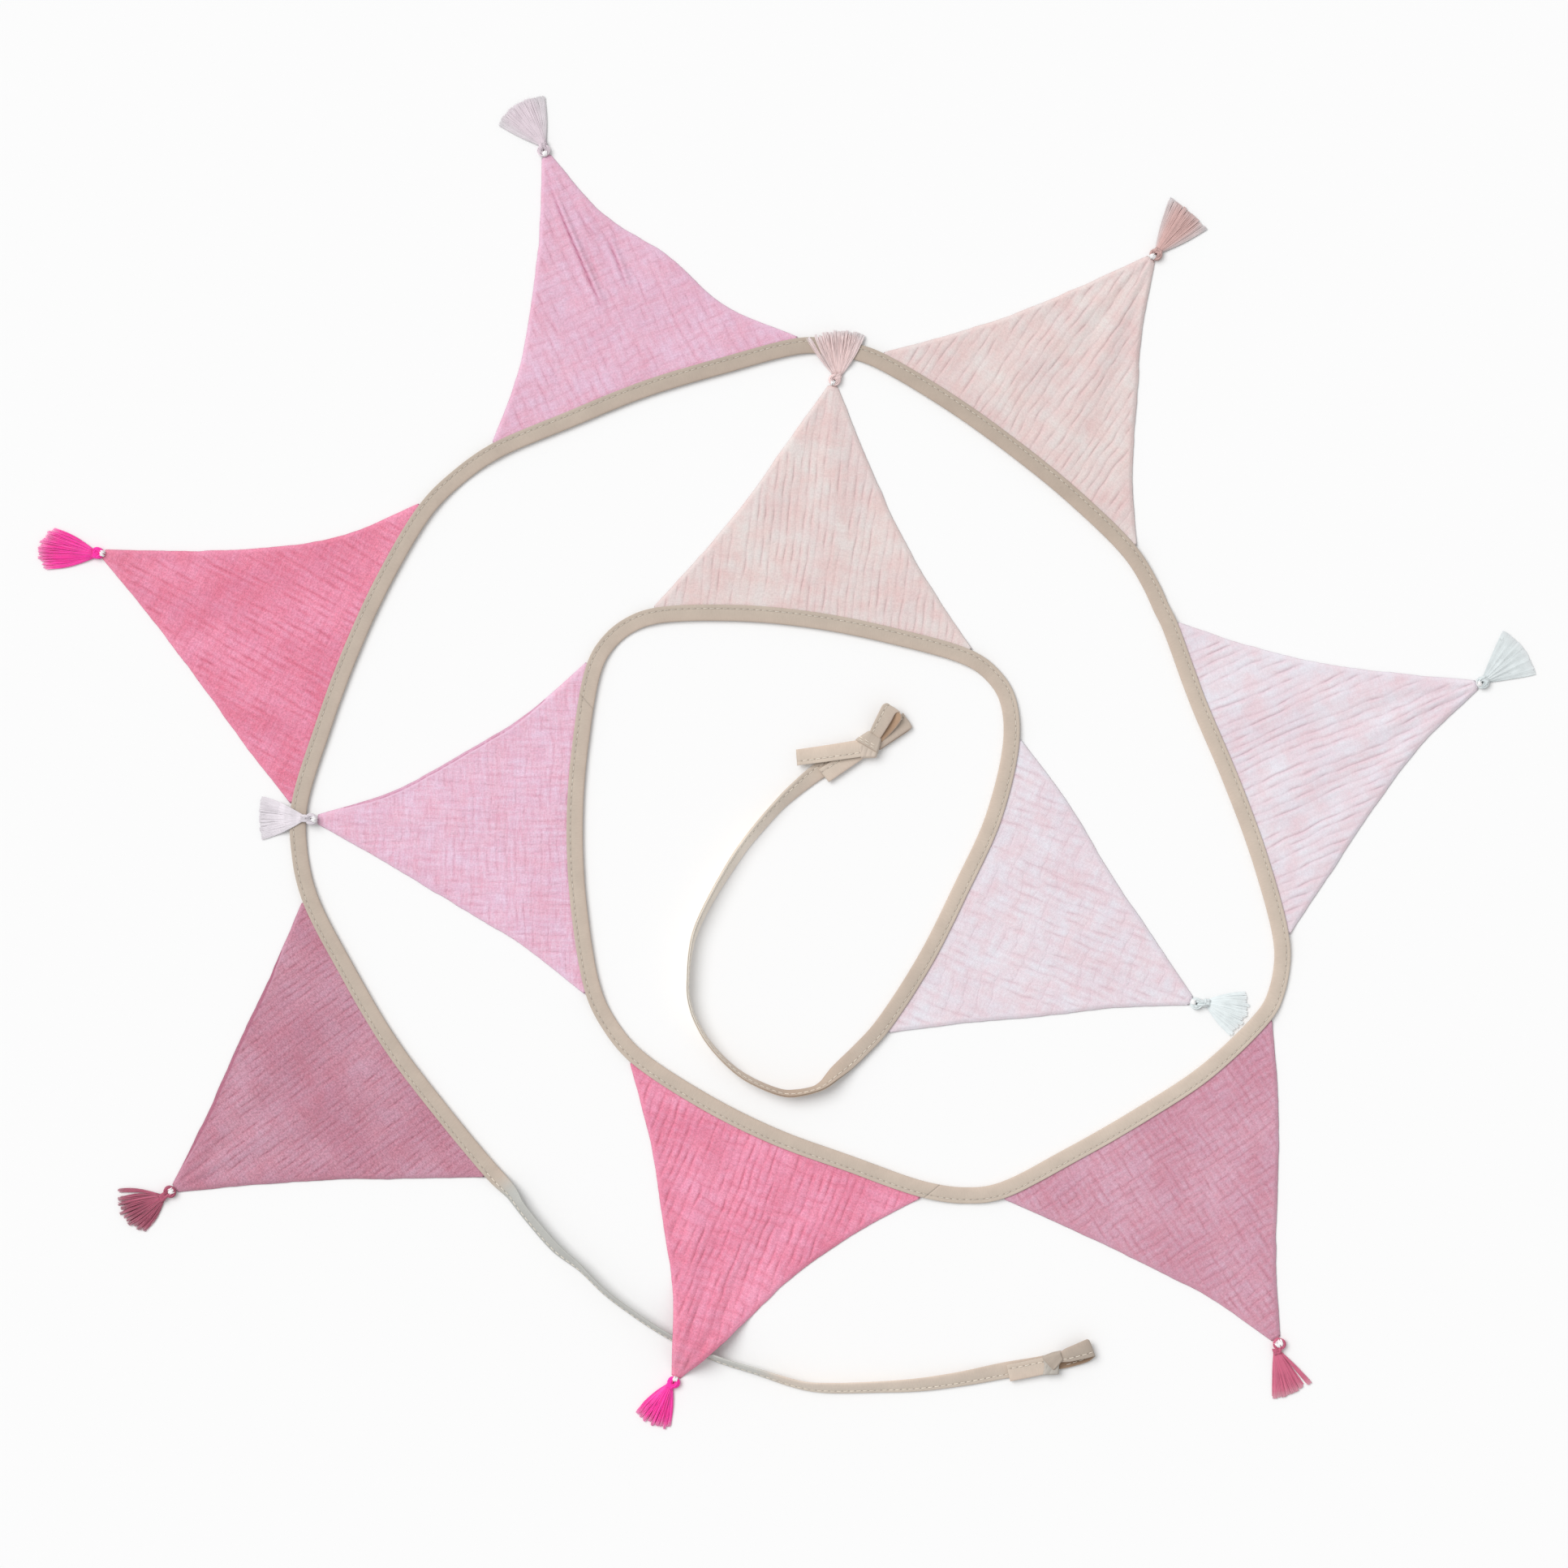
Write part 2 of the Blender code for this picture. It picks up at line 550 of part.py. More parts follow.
def skirt_axes(tassel):
    """Unit vectors along the skirt and across it, from its first corner's side to its last's."""
    along = np.subtract(tassel.middle, tassel.neck)
    along = along / np.linalg.norm(along)
    across = left_of(along)
    if np.dot(np.subtract(tassel.last, tassel.first), across) < 0:
        across = -across
    return along, across


def make_tassel(tassel, flag, route):
    """Head, neck and skirt as one body. Returns the eye of the head and the height it lies at."""
    _, across = skirt_axes(tassel)
    base = OVER_TAPE.get(tassel.number, 0.0)
    eye = np.array(flag.tip) + flag_heading(flag) * (TIP_CLEARANCE + RING_OUTER)
    corners = [tassel.neck + across * side * NECK_WIDTH / 2 for side in (-1, 1)]
    if np.dot(left_of(corners[1] - corners[0]), eye - corners[0]) < 0:
        corners.reverse()
    shape = bmesh.new()
    loops = skin(shape, head_rings(eye, corners, base))
    first, last = loops[0], loops[-1]
    for j in range(len(first)):
        k = (j + 1) % len(first)
        shape.faces.new((last[j], last[k], first[k], first[j]))
    bmesh.ops.recalc_face_normals(shape, faces=shape.faces)
    draw_skirt(shape, tassel, route)
    add_object(f"tassel_{tassel.number:02d}", shape, tassel.colour)
    return eye, base


def draw_skirt(shape, tassel, route):
    """Cut the neck's end face into cells and draw a lower and an upper strand out of each."""
    along, across = (Vector((*axis, 0.0)) for axis in skirt_axes(tassel))
    neck = Vector((*tassel.neck, 0.0))

    def end_faces():
        return [f for f in shape.faces if all(abs((v.co - neck).dot(along)) < 0.05 for v in f.verts)]

    level = [e for e in end_faces()[0].edges if abs(e.verts[0].co.z - e.verts[1].co.z) < 0.05]
    bmesh.ops.subdivide_edges(shape, edges=level, cuts=CELLS - 1, use_grid_fill=True)
    cells = bmesh.ops.triangulate(shape, faces=end_faces(), quad_method="FIXED")["faces"]
    bmesh.ops.inset_individual(shape, faces=cells, thickness=0.04, use_even_offset=True)
    for face in cells:
        draw_strand(shape, face, tassel, neck, across, route)


def strand_path(tassel, position, steps):
    """Where a strand runs: places from the neck to the skirt's edge, position 0 to 1 across the skirt."""
    neck, first, middle, last = (np.array(p) for p in (tassel.neck, tassel.first, tassel.middle, tassel.last))
    end = (first * 2 * (position - 0.5) * (position - 1.0) + middle * 4 * position * (1.0 - position)
           + last * 2 * position * (position - 0.5))
    _, across = skirt_axes(tassel)
    root = neck + across * (position - 0.5) * NECK_WIDTH
    bulge = across * (position - 0.5) * SKIRT_BULGE
    return [root * (1 - t) + end * t + bulge * math.sin(math.pi * t) for t in steps]


def draw_strand(shape, face, tassel, neck, across, route):
    """Extrude one cell along its strand's path, wider and flatter as the skirt opens."""
    heights = sorted(v.co.z for v in face.verts)
    upper = heights[1] > (heights[0] + heights[2]) / 2
    offset = (face.calc_center_median() - neck).dot(across)
    position = min(max(offset / NECK_WIDTH + 0.5, 0.0), 1.0)
    skirt = sum(math.dist(tassel.middle, corner) for corner in (tassel.first, tassel.last))
    over_tape = tassel.number in OVER_TAPE
    steps = (0.25, 0.5, 0.78, 1.0) if over_tape else (0.45, 1.0)
    for step, place in zip(steps, strand_path(tassel, position, steps)):
        base = resting_height(route, place) if over_tape else 0.0
        base += LAYER_RISE * (0.55 + 0.45 * step) if upper else 0.0
        offsets = [(v.co - neck).dot(across) for v in face.verts]
        heights = [v.co.z for v in face.verts]
        room = (NECK_WIDTH * (1 - step) + skirt * step) / CELLS
        widen = room * STRAND_SPREAD / (max(offsets) - min(offsets))
        flatten = STRAND_HEIGHT / (max(heights) - min(heights))
        face = bmesh.ops.extrude_discrete_faces(shape, faces=[face])["faces"][0]
        middle, low = sum(offsets) / len(offsets), min(heights)
        for v in face.verts:
            side = ((v.co - neck).dot(across) - middle) * widen
            v.co = Vector((*place, base + (v.co.z - low) * flatten)) + across * side


def make_thread(tassel, eye, base):
    """The white thread through the head's eye."""
    shape = bmesh.new()
    bmesh.ops.create_uvsphere(shape, u_segments=8, v_segments=4, radius=1.0)
    for v in shape.verts:
        v.co = Vector((eye[0] + v.co.x * BEAD_RADIUS, eye[1] + v.co.y * BEAD_RADIUS,
                       base + (v.co.z + 1.0) * BEAD_HEIGHT / 2))
    add_object(f"thread_{tassel.number:02d}", shape, "thread")


def make_knot(name, outline):
    """The wrapped knot: its outline, drawn in towards the top and the foot."""
    middle = np.mean(outline, axis=0)
    levels = ((0.0, KNOT_BULGE), (KNOT_HEIGHT * 0.3, 1.0), (KNOT_HEIGHT * 0.75, 1.0), (KNOT_HEIGHT, KNOT_BULGE))
    shape = bmesh.new()
    loft(shape, [[(*(middle + (np.array(p) - middle) * grow), z) for p in outline] for z, grow in levels])
    add_object(name, shape, "binding")


def make_strip(name, stations):
    """A tail or a loop of a bow."""
    places = [Vector((s.x, s.y, s.z)) for s in stations]
    rings = []
    for k, station in enumerate(stations):
        tangent = places[min(k + 1, len(places) - 1)] - places[max(k - 1, 0)]
        heading, lean = math.radians(station.across), math.radians(station.lean)
        side = Vector((math.cos(heading) * math.cos(lean), math.sin(heading) * math.cos(lean), math.sin(lean)))
        half = side * station.width / 2
        thin = tangent.cross(side).normalized() * STRIP / 2
        rings.append([places[k] - half - thin, places[k] + half - thin, places[k] + half + thin,
                      places[k] - half + thin])
    shape = bmesh.new()
    loft(shape, rings)
    add_object(name, shape, "binding")


def main():
    clear_scene()
    route = Route(control_points())
    make_tapes(route)
    for flag in FLAGS:
        make_flag(flag, route)
    for tassel, flag in zip(TASSELS, FLAGS):
        eye, base = make_tassel(tassel, flag, route)
        make_thread(tassel, eye, base)
    for name, outline in KNOTS.items():
        make_knot(name, outline)
    for name, stations in STRIPS.items():
        make_strip(name, stations)


main()
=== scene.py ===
"""Fabric bunting: the cloth, binding, sewing, bows and tassels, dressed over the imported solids.

Ten triangular flags of crinkled double gauze are sewn into one folded binding, which lies in a spiral between a
bow at its outer end and a bow at its inner end. A thread tassel hangs from each flag's tip.

Laid out as an add-on: the settings are property groups, each group of pieces is one operator, and the panel in
the 3D view's sidebar lists them. The tables are in millimetres, the settings and the meshes in metres.
"""
import math
import random
from collections import namedtuple

import bpy
import numpy as np
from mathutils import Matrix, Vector
from mathutils.geometry import delaunay_2d_cdt
from mathutils.kdtree import KDTree


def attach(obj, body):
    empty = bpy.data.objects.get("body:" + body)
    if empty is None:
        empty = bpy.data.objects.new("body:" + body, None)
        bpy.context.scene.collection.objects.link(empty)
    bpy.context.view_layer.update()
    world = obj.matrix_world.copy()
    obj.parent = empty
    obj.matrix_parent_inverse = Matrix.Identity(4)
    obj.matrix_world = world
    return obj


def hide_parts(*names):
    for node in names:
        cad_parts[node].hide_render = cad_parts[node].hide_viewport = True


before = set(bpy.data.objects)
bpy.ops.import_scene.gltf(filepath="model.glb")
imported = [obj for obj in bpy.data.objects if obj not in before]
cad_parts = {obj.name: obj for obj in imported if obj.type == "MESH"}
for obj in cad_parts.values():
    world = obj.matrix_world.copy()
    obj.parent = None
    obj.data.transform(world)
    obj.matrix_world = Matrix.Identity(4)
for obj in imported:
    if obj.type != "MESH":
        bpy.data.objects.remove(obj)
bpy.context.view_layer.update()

bl_info = {
    "name": "Fabric bunting",
    "version": (1, 0, 0),
    "blender": (4, 5, 0),
    "location": "View3D > Sidebar > Bunting",
    "description": "Cloth flags on a folded binding, with tassels and bows, laid out in a spiral",
    "category": "Object",
}

MM = 0.001
BODY = "root"

# ---- Where everything lies, in millimetres ----

DENSE_STEPS = 12            # curve samples between two points of the route
CORNER_INSET = 1.5          # from the end of a flag's stretch to its cloth
TIP_WIDTH = 6.0             # of a flag
LEVEL_OUT = 1.0             # beyond the binding before the cloth sinks to the surface
SHUT_GAP = 0.3              # between the binding's layers where no flag is held
OPEN_GAP = 1.4              # between them where they hold a flag
SEAM_GAP = 0.01             # between two lengths of binding
STITCH_SINK = 0.13          # how far the stitches lie in the cloth

Flag = namedtuple("Flag", "number colour start end base_bows tip first_bows second_bows ridges swell")

# start and end: the stretch of binding that holds the flag, on the binding's middle line. The bows are how far
# an edge swells out of its chord at a quarter, a half and three quarters of its length. Ridges and swell are the
# number and the height of the cloth's low waves.
FLAGS = tuple(Flag(number, *row) for number, row in enumerate((
    ("rose", (-181.0, -252.5), (-293.5, -83.0), (5.5, 8.5, 5.8),
         (-376.5, -262.2), (-1.4, -3.0, -2.2), (-1.1, -0.7, -1.4), 3, 1.2),
    ("coral", (-300.0, -27.5), (-221.0, 157.0), (5.8, 8.4, 7.0),
         (-420.3, 128.4), (0.3, -1.2, -1.5), (-12.5, -13.2, -8.1), 2, 0.9),
    ("pink", (-179.5, 191.5), (9.0, 256.5), (3.6, 6.2, 4.2),
         (-148.0, 373.2), (-8.1, -8.8, -6.4), (-11.0, -7.2, -10.0), 2, 0.8),
    ("blush", (56.2, 248.0), (212.0, 129.0), (6.0, 7.7, 6.2),
         (224.5, 310.2), (-3.8, -5.3, -3.4), (-5.4, -5.5, -5.2), 3, 1.2),
    ("pale", (235.5, 85.5), (304.5, -108.0), (0.6, 3.6, 4.2),
         (425.0, 47.8), (-6.0, -7.8, -4.8), (-3.3, -6.5, -6.9), 3, 1.2),
    ("rose", (295.3, -154.3), (131.0, -264.0), (9.4, 9.3, 6.0),
         (301.5, -354.8), (2.4, 1.1, -1.4), (-3.2, -5.0, -5.6), 2, 0.9),
    ("coral", (85.0, -263.0), (-93.5, -180.0), (5.0, 9.2, 7.7),
         (-68.0, -378.2), (-6.8, -8.3, -3.3), (-5.8, -7.1, -7.3), 3, 1.2),
    ("pink", (-118.5, -142.0), (-117.5, 61.0), (9.3, 12.4, 9.2),
         (-288.5, -35.0), (-4.7, -3.7, -2.5), (-9.7, -11.2, -10.3), 2, 0.8),
    ("blush", (-82.0, 90.0), (113.0, 64.0), (8.6, 10.7, 7.5),
         (28.5, 231.8), (-3.0, -4.3, -1.9), (-5.2, -6.7, -4.1), 2, 0.9),
    ("pale", (138.6, 15.8), (57.7, -163.9), (10.2, 10.0, 7.8),
         (249.0, -146.8), (2.5, 0.0, -0.1), (-1.7, -1.6, -2.5), 2, 0.8),
), 1))

# How each flag's gauze has crinkled. Turn is how far its creases run off square to the base, in degrees, and stray
# how far they wander. Pitch is the spacing of the creases that run from the base to the tip and run their length;
# ridge is how high the cloth stands between them and crease how deep each cuts. Cross_pitch and cross are the same
# across the flag. Dash is how broken the crease lines are, line how dark the painted shade along them is, tone how
# much painted shade darkens the valleys and painted highlight lightens the ridges, speck how much the dye differs
# from thread to thread, streak how much from one bundle of threads to the next, patch how much from place to place,
# and fade how far it has faded.
Crinkle = namedtuple("Crinkle", "turn stray pitch run ridge crease cross_pitch cross dash line tone speck streak"
                                " patch fade")
CRINKLES = {number: Crinkle(*row) for number, row in enumerate((
    (3.0, 0.24, 4.6, 34.0, 0.17, 0.24, 8.5, 0.04, 0.65, 0.70, 0.70, 0.19, 0.04, 0.85, 0.00),
    (-6.5, 0.34, 5.0, 40.0, 0.54, 0.30, 7.5, 0.14, 0.35, 0.52, 1.00, 0.15, 0.07, 0.95, 0.00),
    (7.5, 0.36, 6.4, 34.0, 0.24, 0.14, 6.6, 0.12, 0.60, 0.30, 0.65, 0.09, 0.045, 0.30, 0.00),
    (3.0, 0.45, 5.5, 50.0, 0.36, 0.20, 14.0, 0.07, 0.10, 0.18, 0.50, 0.06, 0.02, 0.30, 0.00),
    (3.5, 0.42, 5.3, 60.0, 0.48, 0.24, 16.0, 0.05, 0.00, 0.20, 0.62, 0.05, 0.02, 0.30, 0.00),
    (0.0, 0.42, 5.0, 30.0, 0.36, 0.18, 5.8, 0.27, 0.50, 0.34, 0.80, 0.12, 0.06, 0.75, 0.33),
    (4.0, 0.44, 5.2, 44.0, 0.66, 0.34, 7.6, 0.32, 0.20, 0.58, 1.00, 0.13, 0.06, 1.10, 0.12),
    (0.0, 0.50, 5.6, 22.0, 0.13, 0.08, 5.4, 0.11, 0.70, 0.14, 0.50, 0.09, 0.075, 0.25, 0.12),
    (0.0, 0.35, 4.8, 48.0, 0.30, 0.20, 11.0, 0.07, 0.10, 0.24, 0.50, 0.06, 0.02, 0.25, 0.00),
    (3.0, 0.45, 6.0, 42.0, 0.34, 0.16, 9.0, 0.14, 0.20, 0.22, 0.50, 0.06, 0.03, 0.25, 0.00),
), 1)}

# The side of a flag along which its lower layer shows beyond its upper one, how far, and how dark the painted shade on
# it is.
PEEK = {1: ("second", 1.9, 0.80), 8: ("second", 1.5, 0.45)}

# The binding's middle line between a flag and the next one, by the number of the flag that it follows.
BETWEEN = {
    1: ((-299.8, -55.4),),
    2: ((-201.2, 176.5),),
    3: ((27.0, 256.0), (43.0, 252.8)),
    4: ((224.4, 109.1), (230.9, 94.9)),
    5: ((305.1, -125.1), (301.0, -143.6)),
    6: ((110.5, -266.6),),
    7: ((-108.4, -162.2),),
    8: ((-108.1, 75.5), (-97.5, 84.0)),
    9: ((126.4, 54.4), (135.6, 40.5)),
    10: (),
}

# The two ties: places on the middle line and the roll there. Roll turns the binding about its own length: 0 lies
# flat, a positive roll raises its fold, and a negative one its open edges.
OUTER_TIE = (
    (159.2, -370.0, 0), (155.5, -370.8, 0), (135.0, -374.2, 0), (108.5, -379.1, 22), (82.0, -382.7, 32),
    (55.5, -384.1, 44), (25.5, -384.6, 48), (10.5, -383.2, 56), (-19.2, -374.2, 64), (-44.5, -366.1, 66),
    (-74.5, -351.5, 69), (-97.6, -336.4, 70), (-112.0, -325.4, 71), (-122.7, -315.0, 72), (-128.0, -309.8, 66),
    (-141.3, -299.1, 53), (-157.1, -281.3, 52), (-164.8, -271.3, 50), (-169.2, -264.6, 35),
)
INNER_TIE = (
    (45.2, -177.4, -12), (37.2, -185.0, -16), (29.8, -191.4, -38), (22.5, -198.2, -64), (17.1, -201.0, -74),
    (5.1, -203.4, -71), (-3.0, -203.0, -73), (-23.4, -194.6, -75), (-35.5, -185.7, -79), (-48.2, -171.8, -81),
    (-55.1, -160.3, -84), (-58.4, -152.3, -86), (-60.4, -143.2, -87), (-60.6, -133.2, -88), (-58.8, -115.1, -81),
    (-55.6, -103.0, -74), (-46.9, -84.7, -68), (-34.3, -63.6, -58), (-25.2, -50.2, -55), (-4.4, -26.0, -47),
    (7.7, -14.9, -30), (19.7, -5.5, 0), (40.4, 6.2, 0), (45.4, 8.8, 0),
)

# The binding is three lengths joined end to end, on the bias. Each seam is named by a place on the middle line.
SEAMS = ((89.5, -260.8), (-121.0, 35.2))
TAPE_NAMES = ("outer", "middle", "inner")

# The stretch of the outer tie that has greyed.
GREY_STRETCH = ((-8.0, -378.0), (-172.0, -259.0))
GREY_FADE = 16.0

# Places on the binding, each with how light it looks there, partly its own colour and partly painted light and shade,
# and how much painted warm shade it gets, or if negative how grey it is.
DYES = (
    (159.2, -370.0, 0.95, 0.0), (55.5, -384.1, 1.35, -0.15), (10.5, -383.2, 1.35, -0.25), (-74.5, -351.5, 1.0, 0.0),
    (-213.7, -213.2, 0.95, 0.0), (-133.5, 211.2, 0.93, 0.0), (-60.0, 238.0, 0.88, 0.05), (176.8, 163.7, 0.90, 0.10),
    (253.3, 37.3, 1.05, 0.0), (218.3, -216.9, 1.12, -0.05), (38.3, -246.8, 1.0, 0.0), (-127.5, -91.2, 1.0, 0.0),
    (65.2, 77.9, 0.95, 0.0), (107.3, -78.2, 1.10, 0.0), (45.2, -177.4, 0.90, 0.0), (5.1, -203.4, 0.95, 0.55),
    (-35.5, -185.7, 1.1, 0.0), (-58.4, -152.3, 1.7, -0.6), (-25.2, -50.2, 1.7, -0.4), (19.7, -5.5, 1.05, 0.0),
)

TIE_STITCHES = 1.22         # how much paler the stitches look on the ties and the bows

# Where flag 7 lies over the outer tie.
TIE_CROSSING = ((-74.5, -351.5), (-44.5, -366.2))
CROSSING_FLAG = 7
CROSSING_HEIGHT = 11.0
CROSSING_FLAT = 4.5         # half the width of the lifted cloth's top
CROSSING_FOOT = (20.0, 34.0)    # from the tie to where the cloth is down again, towards the tip and the base

# The long folds that stand in flag 3: a crisp line, also darkened with painted shade, with a ridge on its left and a
# lower one on its right.
Crease = namedtuple("Crease", "flag path height")
CREASES = (
    Crease(3, ((-146.5, 356.5), (-137.5, 334.0), (-121.5, 297.3), (-112.5, 277.0)), 2.2),
    Crease(3, ((-111.5, 325.5), (-104.5, 309.0), (-97.5, 290.2)), 1.5),
    Crease(3, ((-130.0, 344.0), (-124.0, 331.0), (-114.5, 322.0)), 0.9),
)

# neck: where the skirt starts; first, middle and last: the ends of the skirt.
Tassel = namedtuple("Tassel", "number colour neck first middle last")
TASSELS = tuple(Tassel(number, *row) for number, row in enumerate((
    ("rose", (-384.5, -268.0), (-412.5, -261.7), (-409.5, -280.2), (-394.5, -289.2)),
    ("magenta", (-426.0, 128.2), (-451.0, 145.7), (-461.5, 132.2), (-456.5, 118.2)),
    ("shell", (-150.0, 381.2), (-178.0, 391.7), (-167.5, 405.2), (-148.0, 411.2)),
    ("clay", (229.0, 315.2), (235.7, 349.0), (248.5, 339.7), (260.0, 327.7)),
    ("ice", (430.5, 51.2), (440.7, 81.7), (454.0, 70.7), (462.0, 53.2)),
    ("rose", (302.0, -363.2), (299.5, -392.0), (311.5, -389.2), (322.5, -382.2)),
    ("magenta", (-72.0, -384.0), (-95.0, -400.2), (-83.0, -408.7), (-71.0, -410.7)),
    ("lilac", (-298.0, -34.2), (-323.5, -20.0), (-325.0, -32.7), (-323.5, -48.5)),
    ("clay", (31.7, 238.2), (12.5, 261.7), (30.5, 266.5), (49.5, 263.7)),
    ("ice", (259.5, -148.0), (282.5, -140.2), (284.5, -155.5), (272.5, -169.5)),
), 1))
OVER_TAPE = {8: 3.0, 9: 0.0}    # tassels whose skirts lie over the binding, and how far their heads are lifted

# How each tassel's skirt falls: the locks that its strands gather in and how closely, how uneven their ends are,
# how far one lock stands off and to which side (negative the first, positive the last), how far the sides bulge,
# how much the strands stand out from each other (loft), how pale they are in the middle and at the sides, and
# their tone. Its head: how far from the flag's tip the white thread is wound and how wide, and how far the ring of
# loops lies to its left.
Skirt = namedtuple("Skirt", "locks gather ragged stray bulge loft pale_middle pale_side tone bead_out bead_width"
                            " ring_aside")
SKIRTS = {number: Skirt(*row) for number, row in enumerate((
    (11, 0.66, 0.06, -2.0, 3.0, 1.0, 0.00, 0.00, 0.64, 2.8, 3.6, 0.0),
    (13, 0.42, 0.04, 0.0, 3.0, 0.9, 0.00, 0.02, 1.12, 0.9, 3.4, 0.9),
    (9, 0.16, 0.02, 0.0, 1.5, 0.35, 0.00, 0.55, 0.76, 1.6, 3.0, 0.0),
    (9, 0.30, 0.02, 0.0, 1.5, 0.55, 0.00, 0.60, 0.74, 1.6, 3.2, -0.9),
    (6, 0.08, 0.01, 0.0, 0.6, 0.07, 0.00, 0.00, 0.80, 1.6, 3.0, 0.0),
    (8, 0.26, 0.02, 2.6, 0.6, 0.50, 0.00, 0.03, 0.80, 3.4, 4.6, 0.0),
    (9, 0.50, 0.06, 0.0, 2.0, 0.9, 0.00, 0.04, 1.12, 1.3, 3.0, 0.0),
    (12, 0.26, 0.02, 0.0, 2.0, 0.45, 0.00, 0.10, 0.80, 2.0, 3.6, 0.0),
    (14, 0.45, 0.04, -2.0, 2.0, 0.90, 0.38, 0.50, 1.02, 1.9, 2.6, -0.9),
    (12, 0.24, 0.07, 0.0, 2.0, 0.30, 0.00, 0.00, 0.89, 1.6, 3.0, 0.0),
), 1)}
TIP_CLEARANCE = 0.4         # from a flag's tip to the ring of loops
RING_OUTER = 3.4            # radius of the ring
NECK_WIDTH = 4.6
OVER_TAPE_NEAR, OVER_TAPE_FAR = 7.0, 13.0       # from the binding's middle, where a skirt comes down from it
OVER_TAPE_GAP = 0.4
FRAYED = 0.30               # how pale the frayed ends of the strands look

# The bows' tails and loops. Sewn is the side of the strip that its stitches run along, and tone how light its cloth
# looks, set piece by piece to paint in the light and shade that fall on it. A station is a place on the strip's
# middle line (x, y, z), the heading of its width in degrees, how far that leans, and the width.
Strip = namedtuple("Strip", "sewn tone stations")
STRIPS = {
    "bow_outer_tail": Strip(1, 1.10, (
        (160.2, -370.8, 3.9, 97, 0, 10.4), (148.2, -373.4, 3.3, 101, 0, 10.5), (136.5, -375.8, 2.9, 103, 0, 10.4))),
    "bow_outer_loop": Strip(-1, 0.82, (
        (167.2, -366.0, 4.4, 97, 0, 5.4), (172.6, -364.2, 6.0, 102, 4, 8.6), (178.2, -362.5, 6.3, 106, 6, 10.0),
        (183.6, -360.8, 6.2, 110, 6, 11.2), (186.9, -359.9, 5.0, 111, 4, 11.4), (187.3, -361.2, 3.0, 110, 2, 10.8),
        (184.0, -364.2, 1.6, 108, 0, 10.0), (178.0, -366.6, 1.2, 106, 0, 9.2), (172.0, -368.6, 1.2, 103, 0, 8.4),
        (166.5, -370.0, 1.8, 98, 0, 7.4))),
    "bow_inner_tail": Strip(-1, 1.17, (
        (46.8, 8.9, 5.3, 100, 0, 10.6), (25.0, 5.6, 4.8, 97, 0, 10.2), (6.2, 3.0, 4.4, 94, 0, 9.9))),
    "bow_inner_short_tail": Strip(1, 1.12, (
        (45.6, 6.4, 2.8, 118, 0, 8.6), (35.6, 0.2, 2.8, 124, 0, 9.6), (23.0, -8.2, 2.7, 128, 0, 10.0))),
    "bow_inner_loop": Strip(1, 1.04, (
        (53.6, 15.4, 4.6, 148, 0, 7.4), (57.0, 21.6, 7.4, 150, 6, 8.6), (60.6, 28.2, 8.8, 148, 8, 9.4),
        (63.2, 32.8, 8.5, 146, 8, 9.6), (65.9, 33.0, 7.2, 146, 2, 9.6), (66.6, 28.8, 6.0, 148, -10, 9.4),
        (62.4, 22.2, 4.6, 150, -10, 8.8), (55.6, 14.6, 3.4, 148, 0, 7.6))),
    "bow_inner_low_loop": Strip(1, 0.92, (
        (56.0, 11.6, 2.9, 114, 0, 7.6), (65.0, 18.8, 2.9, 121, 0, 9.4), (71.8, 24.0, 2.8, 123, 0, 10.4),
        (74.2, 25.8, 1.85, 123, 0, 10.6), (71.8, 23.4, 0.85, 123, 0, 10.4), (65.0, 18.0, 0.85, 121, 0, 9.0),
        (56.0, 11.0, 0.85, 114, 0, 7.4))),
}

# The knots: an outline each, the edge of the upper wrap where it lies over the lower one, the rows of stitches on
# the upper wrap by their distance from that edge, how high they stand, how grey the lower wrap is, and how light
# the lower and the upper wrap look, which paints in the light and shade on them.
KNOT_WAIST = 2.4            # height at which a knot is widest
Knot = namedtuple("Knot", "outline edge rows height grey tones")
KNOTS = {
    "bow_outer_knot": Knot(
        ((157.0, -365.5), (163.7, -362.9), (168.8, -361.8), (170.8, -366.9), (167.9, -370.4), (167.7, -376.8),
         (157.3, -377.1), (158.4, -370.4)),
        ((157.0, -365.5), (164.2, -373.1), (170.8, -366.9)), (), 7.4, 0.60, (0.92, 0.82)),
    "bow_inner_knot": Knot(
        ((42.2, 14.2), (50.9, 19.8), (58.8, 14.8), (57.6, 9.8), (55.4, 2.8), (45.2, 2.4), (44.3, 8.7)),
        ((42.2, 14.2), (57.2, 5.4)), (1.4, 2.9), 7.4, 0.15, (1.10, 0.98)),
}


# ---- Settings ----

def length_setting(name, description, default):
    return bpy.props.FloatProperty(name=name, description=description, default=default, min=0.0, precision=5,
                                   unit="LENGTH")


def colour_setting(name, description, default):
    return bpy.props.FloatVectorProperty(name=name, description=description, default=default, size=3, min=0.0,
                                         max=1.0, subtype="COLOR")


class ClothSettings(bpy.types.PropertyGroup):
    """The flags' double gauze."""
    thickness: length_setting("Thickness", "Of the two layers of gauze together", 0.0010)
    relief: bpy.props.FloatProperty(name="Relief", description="Height of the crinkles, as a share of normal",
                                    default=1.0, min=0.0, max=3.0, subtype="FACTOR")
    mesh_step: length_setting("Mesh step", "Edge of the triangles on the flags' upper side", 0.00098)
    thread_pitch: length_setting("Thread pitch", "Between two threads of the gauze", 0.0005)
    rose: colour_setting("Rose", "Cloth of flags 1 and 6", (0.548, 0.262, 0.342))
    coral: colour_setting("Coral", "Cloth of flags 2 and 7", (0.800, 0.262, 0.384))
    pink: colour_setting("Pink", "Cloth of flags 3 and 8", (0.770, 0.470, 0.602))
    blush: colour_setting("Blush", "Cloth of flags 4 and 9", (0.755, 0.625, 0.604))
    pale: colour_setting("Pale", "Cloth of flags 5 and 10", (0.785, 0.686, 0.739))


